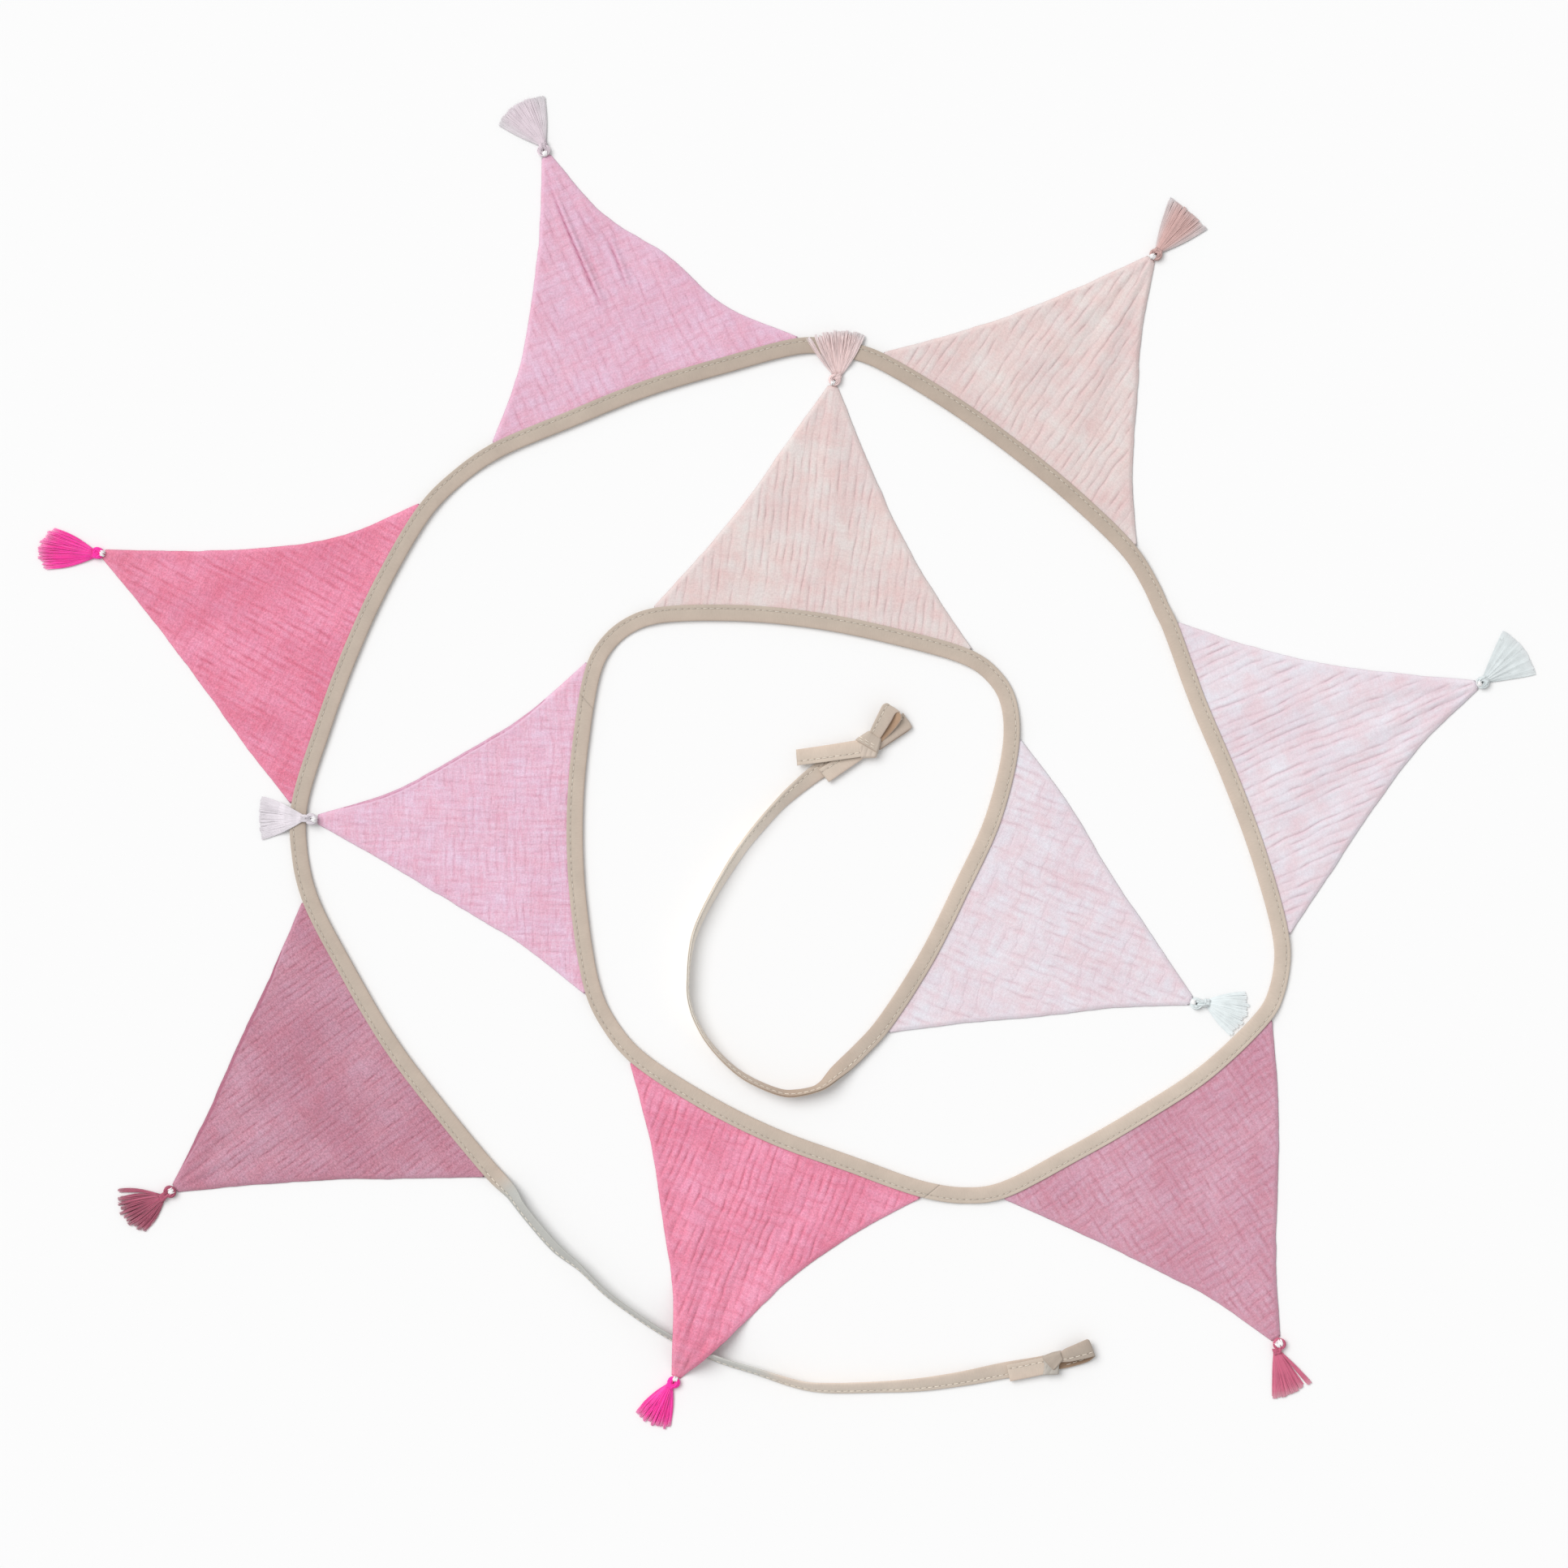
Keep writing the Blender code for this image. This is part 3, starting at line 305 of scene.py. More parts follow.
class BindingSettings(bpy.types.PropertyGroup):
    """The folded binding and its sewing."""
    width: length_setting("Width", "Of the folded binding", 0.010)
    limb: length_setting("Layer", "Thickness of each of its two layers", 0.0006)
    stitch_pitch: length_setting("Stitch pitch", "From one stitch to the next", 0.004)
    stitch_length: length_setting("Stitch length", "Of the thread that shows between two holes", 0.0028)
    stitch_inset: length_setting("Stitch inset", "From the binding's open edge to its stitches", 0.0025)
    thread_width: length_setting("Sewing thread", "Thickness of the thread", 0.00046)
    colour: colour_setting("Binding", "Cotton of the binding", (0.553, 0.468, 0.392))
    fold_colour: colour_setting("Fold", "Binding along its fold", (0.596, 0.482, 0.402))
    grey_colour: colour_setting("Greyed tie", "Binding where the tie has greyed", (0.500, 0.500, 0.470))
    # Painted shade: the warm shade inside the bows' loops, under the edge of each knot's upper wrap and along part of
    # the inner tie.
    painted_shade_colour: colour_setting("Loops' insides", "Cotton inside the bows' loops, in their own shade",
                                  (0.430, 0.285, 0.190))
    stitch_colour: colour_setting("Stitches", "Sewing thread of the binding", (0.690, 0.630, 0.545))


class TasselSettings(bpy.types.PropertyGroup):
    """The tassels and the thread that sews them on."""
    strands: bpy.props.IntProperty(name="Strands", description="Threads in a tassel's skirt", default=340, min=20,
                                   max=600)
    strand_width: length_setting("Strand", "Thickness of a tassel's thread", 0.00038)
    loop_width: length_setting("Loop strand", "Thickness of the plied loops of the head", 0.00080)
    rose: colour_setting("Rose", "Tassels 1 and 6", (0.775, 0.162, 0.285))
    magenta: colour_setting("Magenta", "Tassels 2 and 7", (1.000, 0.026, 0.415))
    shell: colour_setting("Shell", "Tassel 3", (0.960, 0.820, 0.895))
    clay: colour_setting("Clay", "Tassels 4 and 9", (0.860, 0.555, 0.520))
    ice: colour_setting("Ice", "Tassels 5 and 10", (0.910, 0.980, 0.990))
    lilac: colour_setting("Lilac", "Tassel 8", (0.970, 0.900, 0.960))
    white: colour_setting("White", "Thread that sews the tassels on", (0.940, 0.930, 0.930))


class StageSettings(bpy.types.PropertyGroup):
    """Floor, lights and camera."""
    floor_colour: colour_setting("Floor", "Plain pale floor", (0.93, 0.93, 0.93))
    key_strength: bpy.props.FloatProperty(name="Key light", description="Strength of the soft key light",
                                          default=1.95, min=0.0, max=20.0)
    fill_strength: bpy.props.FloatProperty(name="Fill light", description="Strength of the light all round",
                                           default=0.56, min=0.0, max=5.0)
    camera_height: length_setting("Camera height", "Above the surface", 2.683)
    lens: bpy.props.FloatProperty(name="Lens", description="Focal length in millimetres", default=100.0, min=10.0)


SETTINGS = {
    "bunting_cloth": ClothSettings,
    "bunting_binding": BindingSettings,
    "bunting_tassels": TasselSettings,
    "bunting_stage": StageSettings,
}


# ---- Meshes ----

class Draft:
    """A mesh under way: corners in millimetres, faces, and named values at the corners."""

    def __init__(self):
        self.corners = []
        self.faces = []
        self.rounded = []
        self.values = {}

    def add(self, corners, faces, rounded=True, **values):
        """Add corners and faces; a value is one for all the corners or one for each."""
        start = len(self.corners)
        self.corners.extend(np.asarray(corners, dtype=float).tolist())
        self.faces.extend([tuple(start + k for k in face) for face in faces])
        self.rounded.extend([rounded] * len(faces))
        for key, value in values.items():
            spread = np.broadcast_to(np.asarray(value, dtype=float), (len(corners), *np.shape(value)[1:]))
            self.values.setdefault(key, []).append(spread)

    def finish(self, name, materials, slot, *nodes):
        """Make the object in metres, put it on the body and let it stand for its nodes."""
        mesh = bpy.data.meshes.new(name)
        mesh.from_pydata((np.array(self.corners) * MM).tolist(), [], self.faces)
        mesh.polygons.foreach_set("use_smooth", self.rounded)
        for key, parts in self.values.items():
            table = np.concatenate(parts)
            kind, field = ("FLOAT", "value") if table.ndim == 1 else ("FLOAT_VECTOR", "vector")
            mesh.attributes.new(key, kind, "POINT").data.foreach_set(field, table.astype(np.float32).ravel())
        for each in materials:
            mesh.materials.append(each)
        mesh.update()
        item = bpy.data.objects.new(name, mesh)
        bpy.context.scene.collection.objects.link(item)
        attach(item, BODY)
        if nodes:
            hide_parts(*nodes)
        return item


def smooth(low, high, value):
    """0 below low, 1 above high, and a smooth rise between them."""
    share = np.clip((np.asarray(value, dtype=float) - low) / (high - low), 0.0, 1.0)
    return share * share * (3 - 2 * share)


LATTICE = 128               # whole numbers after which the noise repeats


def wander(x, y, seed):
    """Smooth noise between about -1 and 1: a slope drawn at each whole number, eased from one to the next."""
    x, y = np.broadcast_arrays(np.asarray(x, dtype=float), np.asarray(y, dtype=float))
    headings = np.random.default_rng(int(seed * 100)).uniform(0.0, 2 * math.pi, (LATTICE, LATTICE))
    i, j = np.floor(x).astype(int), np.floor(y).astype(int)
    x, y = x - i, y - j
    ease_x, ease_y = (t ** 3 * (t * (t * 6 - 15) + 10) for t in (x, y))

    def slope(di, dj):
        heading = headings[(i + di) % LATTICE, (j + dj) % LATTICE]
        return np.cos(heading) * (x - di) + np.sin(heading) * (y - dj)

    near = slope(0, 0) * (1 - ease_x) + slope(1, 0) * ease_x
    far = slope(0, 1) * (1 - ease_x) + slope(1, 1) * ease_x
    return 1.5 * (near * (1 - ease_y) + far * ease_y)


def unit(vectors):
    vectors = np.asarray(vectors, dtype=float)
    return vectors / np.maximum(np.linalg.norm(vectors, axis=-1, keepdims=True), 1e-9)


def left_of(direction):
    """The horizontal unit vector to the left of a direction."""
    direction = unit(direction)
    return np.stack((-direction[..., 1], direction[..., 0]), axis=-1)


def grid_faces(rows, columns):
    """Quads between rows of corners, with the last column joined to the first."""
    faces = []
    for r in range(rows - 1):
        for c in range(columns):
            n = (c + 1) % columns
            faces.append((r * columns + c, r * columns + n, (r + 1) * columns + n, (r + 1) * columns + c))
    return faces


def capped_faces(rows, columns):
    """The faces of a closed tube."""
    faces = grid_faces(rows, columns)
    faces.append(tuple(reversed(range(columns))))
    faces.append(tuple(range((rows - 1) * columns, rows * columns)))
    return faces


def ring_faces(rows, columns):
    """The faces of a tube whose last row joins its first."""
    return [tuple(k % (rows * columns) for k in face) for face in grid_faces(rows + 1, columns)]


def tube(path, radius, sides, closed=False):
    """Corners and faces of a thread along a path."""
    path = np.asarray(path, dtype=float)
    if closed:
        tangent = unit(np.roll(path, -1, axis=0) - np.roll(path, 1, axis=0))
    else:
        tangent = unit(np.gradient(path, axis=0))
    up = np.array((0.0, 0.0, 1.0)) if np.abs(tangent[:, 2]).mean() < 0.8 else np.array((1.0, 0.0, 0.0))
    side = unit(np.cross(tangent, up))
    over = np.cross(side, tangent)
    angles = 2 * math.pi * np.arange(sides) / sides
    radius = np.broadcast_to(np.asarray(radius, dtype=float), (len(path),))[:, None, None]
    round_it = np.cos(angles)[None, :, None] * side[:, None, :] + np.sin(angles)[None, :, None] * over[:, None, :]
    corners = path[:, None, :] + radius * round_it
    rows = len(path)
    faces = ring_faces(rows, sides) if closed else capped_faces(rows, sides)
    return corners.reshape(-1, 3), faces


THREAD_SIDES = 5            # of a round thread's section


def flat_strand(path, radius, flatness):
    """Corners and faces of a soft strand that lies flat: four-sided, and lower than it is wide."""
    side = left_of(np.gradient(path[:, :2], axis=0)) * radius[:, None]
    rise = np.column_stack((np.zeros((len(path), 2)), radius * flatness))
    side = np.column_stack((side, np.zeros(len(path))))
    corners = np.stack((path - side, path + rise, path + side, path - rise), axis=1)
    return corners.reshape(-1, 3), [tuple(reversed(face)) for face in capped_faces(len(path), 4)]


# ---- The binding's route ----

def cubic(before, here, there, after, share):
    """The smooth way from here to there, bent by the values before and after (Catmull-Rom)."""
    return 0.5 * (2 * here + (there - before) * share
                  + (2 * before - 5 * here + 4 * there - after) * share ** 2
                  + (3 * here - before - 3 * there + after) * share ** 3)


def bowed_line(start, end, bows, shares, outward):
    """Points on an edge that swells out of its chord by the three bows."""
    knots = np.array((-bows[0], 0.0, *bows, 0.0, -bows[2]))
    place = np.minimum(np.asarray(shares, dtype=float) * 4, 3.999999)
    index = place.astype(int)
    local = place - index
    bow = cubic(*(knots[index + k] for k in range(4)), local)
    share = np.asarray(shares, dtype=float)[..., None]
    return np.array(start) * (1 - share) + np.array(end) * share + np.array(outward) * bow[..., None]


def control_points():
    """The route's points, outer bow to inner bow: x, y, roll and how far the binding is opened."""
    points = [(*row, 0.0) for row in OUTER_TIE]
    for flag in FLAGS:
        outward = left_of(np.subtract(flag.end, flag.start))
        line = bowed_line(flag.start, flag.end, flag.base_bows, (0.0, 0.25, 0.5, 0.75, 1.0), outward)
        points.extend((x, y, 0.0, 1.0) for x, y in line)
        points.extend((x, y, 0.0, 0.0) for x, y in BETWEEN[flag.number])
    points.extend((*row, 0.0) for row in INNER_TIE)
    return np.array(points, dtype=float)


class Route:
    """The binding's middle line as a smooth curve, read by its arc length."""

    def __init__(self, points):
        xy = points[:, :2]
        ends = np.vstack((2 * xy[0] - xy[1], xy, 2 * xy[-1] - xy[-2]))
        samples = []
        for i in range(len(xy) - 1):
            samples.extend(self.segment(ends[i:i + 4], points[i], points[i + 1]))
        samples.append(points[-1])
        self.samples = np.array(samples)
        steps = np.hypot(*np.diff(self.samples[:, :2], axis=0).T)
        self.lengths = np.concatenate(((0.0,), np.cumsum(steps)))
        self.total = self.lengths[-1]

    @staticmethod
    def segment(corners, first, second):
        """Centripetal Catmull-Rom from the second to the third of four corners."""
        times = [0.0]
        for a, b in zip(corners[:-1], corners[1:]):
            times.append(times[-1] + math.sqrt(math.hypot(*(b - a))))
        t0, t1, t2, t3 = times

        def mixed(low, high, at_low, at_high):
            return ((high - t) * at_low + (t - low) * at_high) / (high - low)

        rows = []
        for k in range(DENSE_STEPS):
            share = k / DENSE_STEPS
            t = t1 + (t2 - t1) * share
            first_leg = mixed(t0, t1, *corners[:2])
            middle_leg = mixed(t1, t2, *corners[1:3])
            last_leg = mixed(t2, t3, *corners[2:])
            place = mixed(t1, t2, mixed(t0, t2, first_leg, middle_leg), mixed(t1, t3, middle_leg, last_leg))
            rest = first[2:] * (1 - share) + second[2:] * share
            rows.append((*place, *rest))
        return rows

    def at(self, lengths):
        """Places, leftward directions, rolls and openings at arc lengths."""
        lengths = np.asarray(lengths, dtype=float)

        def read(column, where):
            return np.interp(where, self.lengths, self.samples[:, column])

        place = np.stack((read(0, lengths), read(1, lengths)), axis=-1)
        reach = 1.5
        ahead = np.minimum(lengths + reach, self.total)
        behind = np.maximum(lengths - reach, 0.0)
        tangent = np.stack((read(0, ahead) - read(0, behind), read(1, ahead) - read(1, behind)), axis=-1)
        return place, left_of(tangent), read(2, lengths), read(3, lengths)

    def nearest(self, place):
        """The arc length nearest to a place, and how far off it is."""
        gaps = np.hypot(self.samples[:, 0] - place[0], self.samples[:, 1] - place[1])
        index = int(np.argmin(gaps))
        return self.lengths[index], gaps[index]

    def seams(self):
        return [self.nearest(place)[0] for place in SEAMS]


# ---- The folded binding's section ----

# The upper layer from its open edge to the fold: place across, as a share of half the width, and how far its
# surface is from level, in millimetres. The lower layer mirrors it.
LAYER = ((1.0, -0.34), (0.975, -0.10), (0.88, 0.0), (0.64, -0.03), (0.50, -0.17), (0.36, -0.03), (0.0, 0.05),
         (-0.45, 0.08), (-0.76, -0.02), (-0.92, -0.20), (-0.985, -0.48))
STITCH_ROW = 4              # of the rows above, the one that the stitches pull down
STITCH_PULL = (0.10, 0.035)     # how far they pull it and the rows beside it
SLOT = ((0.955, -1, 1), (-0.86, -1, 0), (-0.86, 1, 0), (0.955, 1, 1))   # inside: place across, side, and lip or not
SLOT_LIP = 0.04
SHEAR_REACH = 13.0          # from a seam, over which the sections turn to its bias
SHEAR = 0.8                 # how far along a section's corners shift there, as a share of n


class Folded:
    """Points on the folded strip: n runs across it, outwards to its open edges, and b through it."""

    def __init__(self, settings):
        self.half = settings.width / MM / 2
        self.limb = settings.limb / MM
        self.pitch = settings.stitch_pitch / MM
        self.thread = settings.thread_width / MM * 0.6
        self.stitch_n = self.half - settings.stitch_inset / MM

    def tall(self, opening):
        return self.limb + (SHUT_GAP + opening * (OPEN_GAP - SHUT_GAP)) / 2

    def section(self, lengths, opening):
        """n and b of each corner of each section, with the cloth's unevenness along the strip."""
        lengths = np.asarray(lengths, dtype=float)[:, None]
        tall = self.tall(np.asarray(opening, dtype=float))[:, None]
        share, level = np.array(LAYER).T[:, None, :]
        pull = np.zeros(len(LAYER))
        pull[STITCH_ROW], pull[STITCH_ROW - 1:STITCH_ROW + 2:2] = STITCH_PULL
        pucker = np.cos(2 * math.pi * lengths / self.pitch) * pull[None, :]
        soft = 0.07 * wander(lengths / 7.0, share * 2.2, 3.1) * (1 - share ** 8)
        upper = tall + level - pucker + soft
        wide = self.half * share * (1 + 0.014 * wander(lengths / 19.0, 0.0 * share, 8.4))
        lower_soft = 0.05 * wander(lengths / 9.0, share * 2.0, 5.7) * (1 - share ** 8)
        lower = -(tall + level - pucker + lower_soft)
        slot = tall - self.limb
        ones = np.ones_like(tall)
        n = np.hstack((wide, -self.half * ones, wide[:, ::-1], *(across * self.half * ones for across, _, _ in SLOT)))
        b = np.hstack((upper, 0.0 * ones, lower[:, ::-1], *(side * (slot + lip * SLOT_LIP) for _, side, lip in SLOT)))
        return n, b


def turned(n, b, roll):
    """n and b after the strip has rolled about its length, by angles in degrees."""
    cosine, sine = np.cos(np.radians(roll)), np.sin(np.radians(roll))
    return n * cosine + b * sine, b * cosine - n * sine


def strip_values(n, lengths, half, grey, inside, tone):
    """What the binding's finish reads at each corner."""
    grain = np.stack((np.broadcast_to(lengths, n.shape), n, np.zeros_like(n)), axis=-1) * MM
    values = {"edge": n / half, "grey": grey, "inside": inside, "tone": tone}
    values = {key: np.broadcast_to(value, n.shape).ravel() for key, value in values.items()}
    return {**values, "grain": grain.reshape(-1, 3)}


# ---- The flags' outlines and surfaces ----

def flag_heading(flag):
    """The unit vector from the middle of a flag's base to its tip."""
    return unit(np.subtract(flag.tip, np.add(flag.start, flag.end) / 2))


class FlagPlan:
    """A flag's outline, laid out, and the lines that its cloth is measured from."""

    HELD = 4.0              # how far the cloth reaches under the binding's open edge
    EDGE_STEP = 1.15        # between two corners of the outline

    def __init__(self, flag, route, half):
        self.flag = flag
        begin = route.nearest(flag.start)[0] + CORNER_INSET
        end = route.nearest(flag.end)[0] - CORNER_INSET
        place, outward, _, _ = route.at(np.linspace(begin, end, int((end - begin) / self.EDGE_STEP)))
        self.mouth = place + outward * half
        self.hidden = place + outward * (half - self.HELD)
        corner = place[[0, -1]] + outward[[0, -1]] * (half + LEVEL_OUT)
        tip_side = left_of(flag_heading(flag)) * TIP_WIDTH / 2
        self.first = self.side(corner[0], flag.tip + tip_side, flag.first_bows, 1, flag.number + 0.3)
        self.second = self.side(corner[1], flag.tip - tip_side, flag.second_bows, -1, flag.number + 4.3)
        tip_edge = np.linspace(self.second[-1], self.first[-1], 6)[1:-1]
        tip_edge += flag_heading(flag) * 0.5 * np.sin(np.linspace(0.2, 0.8, 4) * math.pi)[:, None]
        self.free = np.vstack((self.second, tip_edge, self.first[::-1]))
        self.outline = np.vstack((self.hidden, self.free))
        chord = unit(np.subtract(flag.end, flag.start))
        self.axes = np.stack((chord, left_of(chord)))
        self.origin = np.add(flag.start, flag.end) / 2

    def side(self, corner, tip, bows, outward, seed):
        """A side from the binding to the tip, with the slight unevenness of a pressed edge, none at its ends."""
        shares = np.linspace(0.0, 1.0, int(math.dist(corner, tip) / self.EDGE_STEP))
        line = bowed_line(corner, tip, bows, shares, outward * left_of(tip - corner))
        distance = np.concatenate(((0.0,), np.cumsum(np.hypot(*np.diff(line, axis=0).T))))
        fade = np.sin(np.linspace(0.0, math.pi, len(line))) ** 0.5
        off = (0.34 * wander(distance / 13.0, 0.5, seed) + 0.16 * wander(distance / 4.5, 0.5, seed)) * fade
        return line + left_of(np.gradient(line, axis=0)) * off[:, None]

    def local(self, points):
        """u along the base and v towards the tip."""
        return ((points - self.origin) @ self.axes.T).T

    def across(self, points):
        """0 on the first side of the flag to 1 on its second."""
        u, v = self.local(points)
        sides = []
        for line in (self.first, self.second):
            line_u, line_v = self.local(line)
            order = np.argsort(line_v)
            sides.append(np.interp(v, line_v[order], line_u[order]))
        return np.clip((u - sides[0]) / np.maximum(sides[1] - sides[0], 1.0), 0.0, 1.0)

    def area(self):
        x, y = self.outline.T
        return abs(np.dot(x, np.roll(y, -1)) - np.dot(y, np.roll(x, -1))) / 2


def off_line(points, line):
    """Each point's distance to a line of points, and the place along it, 0 to 1, of the nearest spot."""
    tree = KDTree(len(line))
    for k, (x, y) in enumerate(line.tolist()):
        tree.insert((x, y, 0.0), k)
    tree.balance()
    nearest = np.array([tree.find((x, y, 0.0))[1] for x, y in points.tolist()])
    best = np.full(len(points), 1e9)
    place = np.zeros(len(points))
    for before in (1, 0):
        k = np.clip(nearest - before, 0, len(line) - 2)
        start, step = line[k], line[k + 1] - line[k]
        share = np.clip(((points - start) * step).sum(1) / np.maximum((step * step).sum(1), 1e-12), 0.0, 1.0)
        gap = np.hypot(*(points - start - share[:, None] * step).T)
        closer = gap < best
        best[closer] = gap[closer]
        place[closer] = (k + share)[closer] / (len(line) - 1)
    return best, place


def inside(points, loop):
    """Which points are inside a closed loop."""
    odd = np.zeros(len(points), dtype=bool)
    x, y = points.T
    for (x0, y0), (x1, y1) in zip(loop, np.roll(loop, -1, axis=0)):
        if y0 != y1:
            crosses = ((y0 > y) != (y1 > y)) & (x < (x1 - x0) * (y - y0) / (y1 - y0) + x0)
            odd ^= crosses
    return odd


def triangulated(outline, rings, step):
    """Corners and triangles of an even net inside an outline. The outline's corners come first; rings are the
    distances from it at which rows of corners follow it."""
    loop = np.vstack((outline, outline[:1]))
    normal = left_of(np.roll(outline, -1, axis=0) - np.roll(outline, 1, axis=0))
    if not inside(outline[:1] + normal[:1] * 0.2, outline)[0]:
        normal = -normal
    low, high = outline.min(0), outline.max(0)
    rise = step * math.sqrt(0.75)
    rows = np.arange(low[1], high[1], rise)
    net = np.array([(x, y) for k, y in enumerate(rows)
                    for x in np.arange(low[0] + (k % 2) * step / 2, high[0], step)])
    net = net[inside(net, outline)]
    net = net[off_line(net, loop)[0] > (rings[-1] if rings else 0.0) + step * 0.6]
    parts = [outline]
    for distance in rings:
        ring = outline + normal * distance
        ring = ring[inside(ring, outline)]
        parts.append(ring[off_line(ring, loop)[0] > distance * 0.93])
    parts.append(net)
    points = np.vstack(parts)
    edges = [(k, (k + 1) % len(outline)) for k in range(len(outline))]
    corners, _, faces, *_ = delaunay_2d_cdt([Vector(p) for p in points.tolist()], edges, [], 1, 1e-6, False)
    if len(corners) != len(points):
        raise RuntimeError("An outline crosses itself or its net")
    faces = np.array(faces)
    faces = faces[inside(points[faces].mean(axis=1), outline)]
    first, second = (points[faces[:, k]] - points[faces[:, 0]] for k in (1, 2))
    downward = first[:, 0] * second[:, 1] < first[:, 1] * second[:, 0]
    faces[downward] = faces[downward][:, ::-1]
    return points, [tuple(face) for face in faces.tolist()]


def sheet_between(draft, outline, top, bottom, rings, step, under_step, edge_height, **values):
    """Add a closed sheet: top and bottom give its heights over a net of points, edge_height those of its rim.
    Each value is a function of the points and of whether they are on top."""
    rim = len(outline)
    upper, upper_faces = triangulated(outline, rings, step)
    lower, lower_faces = triangulated(outline, rings[1:2], under_step)
    heights = np.concatenate((edge_height(outline), top(upper[rim:]), bottom(lower[rim:])))
    corners = np.column_stack((np.vstack((upper, lower[rim:])), heights))
    shift = len(upper) - rim
    faces = list(upper_faces)
    faces.extend(tuple(k if k < rim else k + shift for k in reversed(face)) for face in lower_faces)
    on_top = np.arange(len(corners)) < len(upper)
    table = {key: value(corners[:, :2], on_top) for key, value in values.items()}
    draft.add(corners, faces, **table)


class Gauze:
    """The crinkled surface of one flag."""

    CUT = 0.6               # half the width of a crease
    FREE_EDGE = 0.35        # height of a free edge
    EDGE_TOP, LOWEST_TOP = 0.45, 0.42       # heights of the upper side beside a free edge, and at its lowest
    HELD_EDGE, HELD_UNDER, HELD_TOP = 0.85, 0.90, 1.62      # where the binding holds the cloth
    STEP_DOWN, LAYER_DOWN, LIP_UP = 0.42, 0.30, 0.25        # at the lower layer, where it shows
    FOLD_WIDE, FOLD_CUT = 1.7, 0.6                          # a long fold's ridges and the line between them
    GRAIN_SHIFT = 400.0     # from one flag's grain to the next's

    def __init__(self, plan, settings):
        self.plan = plan
        self.look = CRINKLES[plan.flag.number]
        self.seed = plan.flag.number * 7.3
        self.relief = settings.relief
        self.thickness = settings.thickness / MM

    def crease_lines(self, points):
        """The places s and t on the creases, whole numbers on a crease, along the base and up the flag, and
        whether the cloth is creased there."""
        look, seed = self.look, self.seed
        u, v = self.laid(points)
        drift = look.pitch * look.stray * (1.30 * wander(u / (6.0 * look.pitch), v / 80.0, seed)
                                           + 0.42 * wander(u / (1.8 * look.pitch), v / 13.0, seed + 1.1))
        s = (u + drift) / look.pitch
        sag = look.cross_pitch * look.stray * (0.95 * wander(u / 30.0, v / 34.0, seed + 2.2)
                                               + 0.36 * wander(u / 7.0, v / 12.0, seed + 3.3))
        t = (v + sag) / look.cross_pitch
        edge = smooth(0.4, 4.0, off_line(points, self.plan.free)[0])
        line, row = np.round(s), np.round(t)
        along = (0.35 + 0.65 * smooth(-0.3, 0.5, wander(line * 0.7, v / 11.0, seed + 8.8))) * smooth(
            -0.62, -0.10, wander(line * 1.7 + 0.4, v / look.run, seed + 4.4)) * edge
        across = smooth(-0.35, 0.20, wander(row * 2.3 + 0.4, u / 15.0, seed + 5.5)) * edge
        return s, t, along, across

    def laid(self, points):
        """The places along and up the flag, turned to its creases."""
        u, v = self.plan.local(points)
        turn = math.radians(self.look.turn)
        return u * math.cos(turn) + v * math.sin(turn), v * math.cos(turn) - u * math.sin(turn)

    def folds(self, points):
        """Height of the crinkles."""
        look, seed = self.look, self.seed
        u, v = self.plan.local(points)
        s, t, along, across = self.crease_lines(points)
        off_s, off_t = np.abs(s - np.round(s)), np.abs(t - np.round(t))
        height = look.ridge * (np.sin(math.pi * off_s) ** 0.7 - 0.6) * along
        height -= look.crease * np.exp(-(off_s * look.pitch / self.CUT) ** 2) * along
        height += look.cross * (np.sin(math.pi * off_t) ** 0.7 - 0.6) * across
        height += 0.26 * wander(u / 9.0, v / 13.0, seed + 6.6) + 0.09 * wander(u / 2.1, v / 2.9, seed + 7.7)
        return height * self.relief

    def waves(self, points):
        """The low waves from the binding to the tip."""
        flag = self.plan.flag
        across, (_, v) = self.plan.across(points), self.plan.local(points)
        tip_v = self.plan.local(np.array([flag.tip]))[1][0]
        share = np.clip(v / tip_v, 0.0, 1.0)
        phase = 0.6 * np.sin(2.4 * share + flag.number) + flag.number
        wave = 0.5 - 0.5 * np.cos(2 * math.pi * flag.ridges * across + phase)
        return flag.swell * wave * np.sin(math.pi * across) ** 0.5 * np.sin(math.pi * share) ** 0.5

    def lift(self, points):
        """How far the underside is above the surface."""
        flag = self.plan.flag
        height = np.zeros(len(points))
        if flag.number == CROSSING_FLAG:
            start, end = np.array(TIE_CROSSING)
            off = (points - start) @ left_of(end - start)
            foot = np.where(off < 0.0, *CROSSING_FOOT)
            fall = np.clip((foot - np.abs(off)) / (foot - CROSSING_FLAT), 0.0, 1.0)
            height += CROSSING_HEIGHT * (0.35 * fall + 0.65 * smooth(0.0, 1.0, fall))
        for crease, off, strength in self.long_folds(points):
            ridges = np.exp(-((off - 2.0) / self.FOLD_WIDE) ** 2) + 0.5 * np.exp(-((off + 2.2) / self.FOLD_WIDE) ** 2)
            height += crease.height * strength * ridges
        return height

    def long_folds(self, points):
        """Each long fold of the flag, how far the points are to the left of it, and its strength there."""
        for crease in CREASES:
            if crease.flag == self.plan.flag.number:
                path = np.array(crease.path)
                off, place = off_line(points, path)
                side = np.sign((points - path[0]) @ left_of(path[-1] - path[0]))
                yield crease, off * side, np.sin(math.pi * np.clip(place, 0.0, 1.0)) ** 0.7

    def held(self, points):
        """1 where the binding holds the cloth, falling to 0 where it lies on the surface."""
        off, _ = off_line(points, self.plan.mouth)
        under = off_line(points, self.plan.hidden)[0] < self.plan.HELD
        return np.where(under, 1.0, 1.0 - smooth(0.0, 7.0, off))

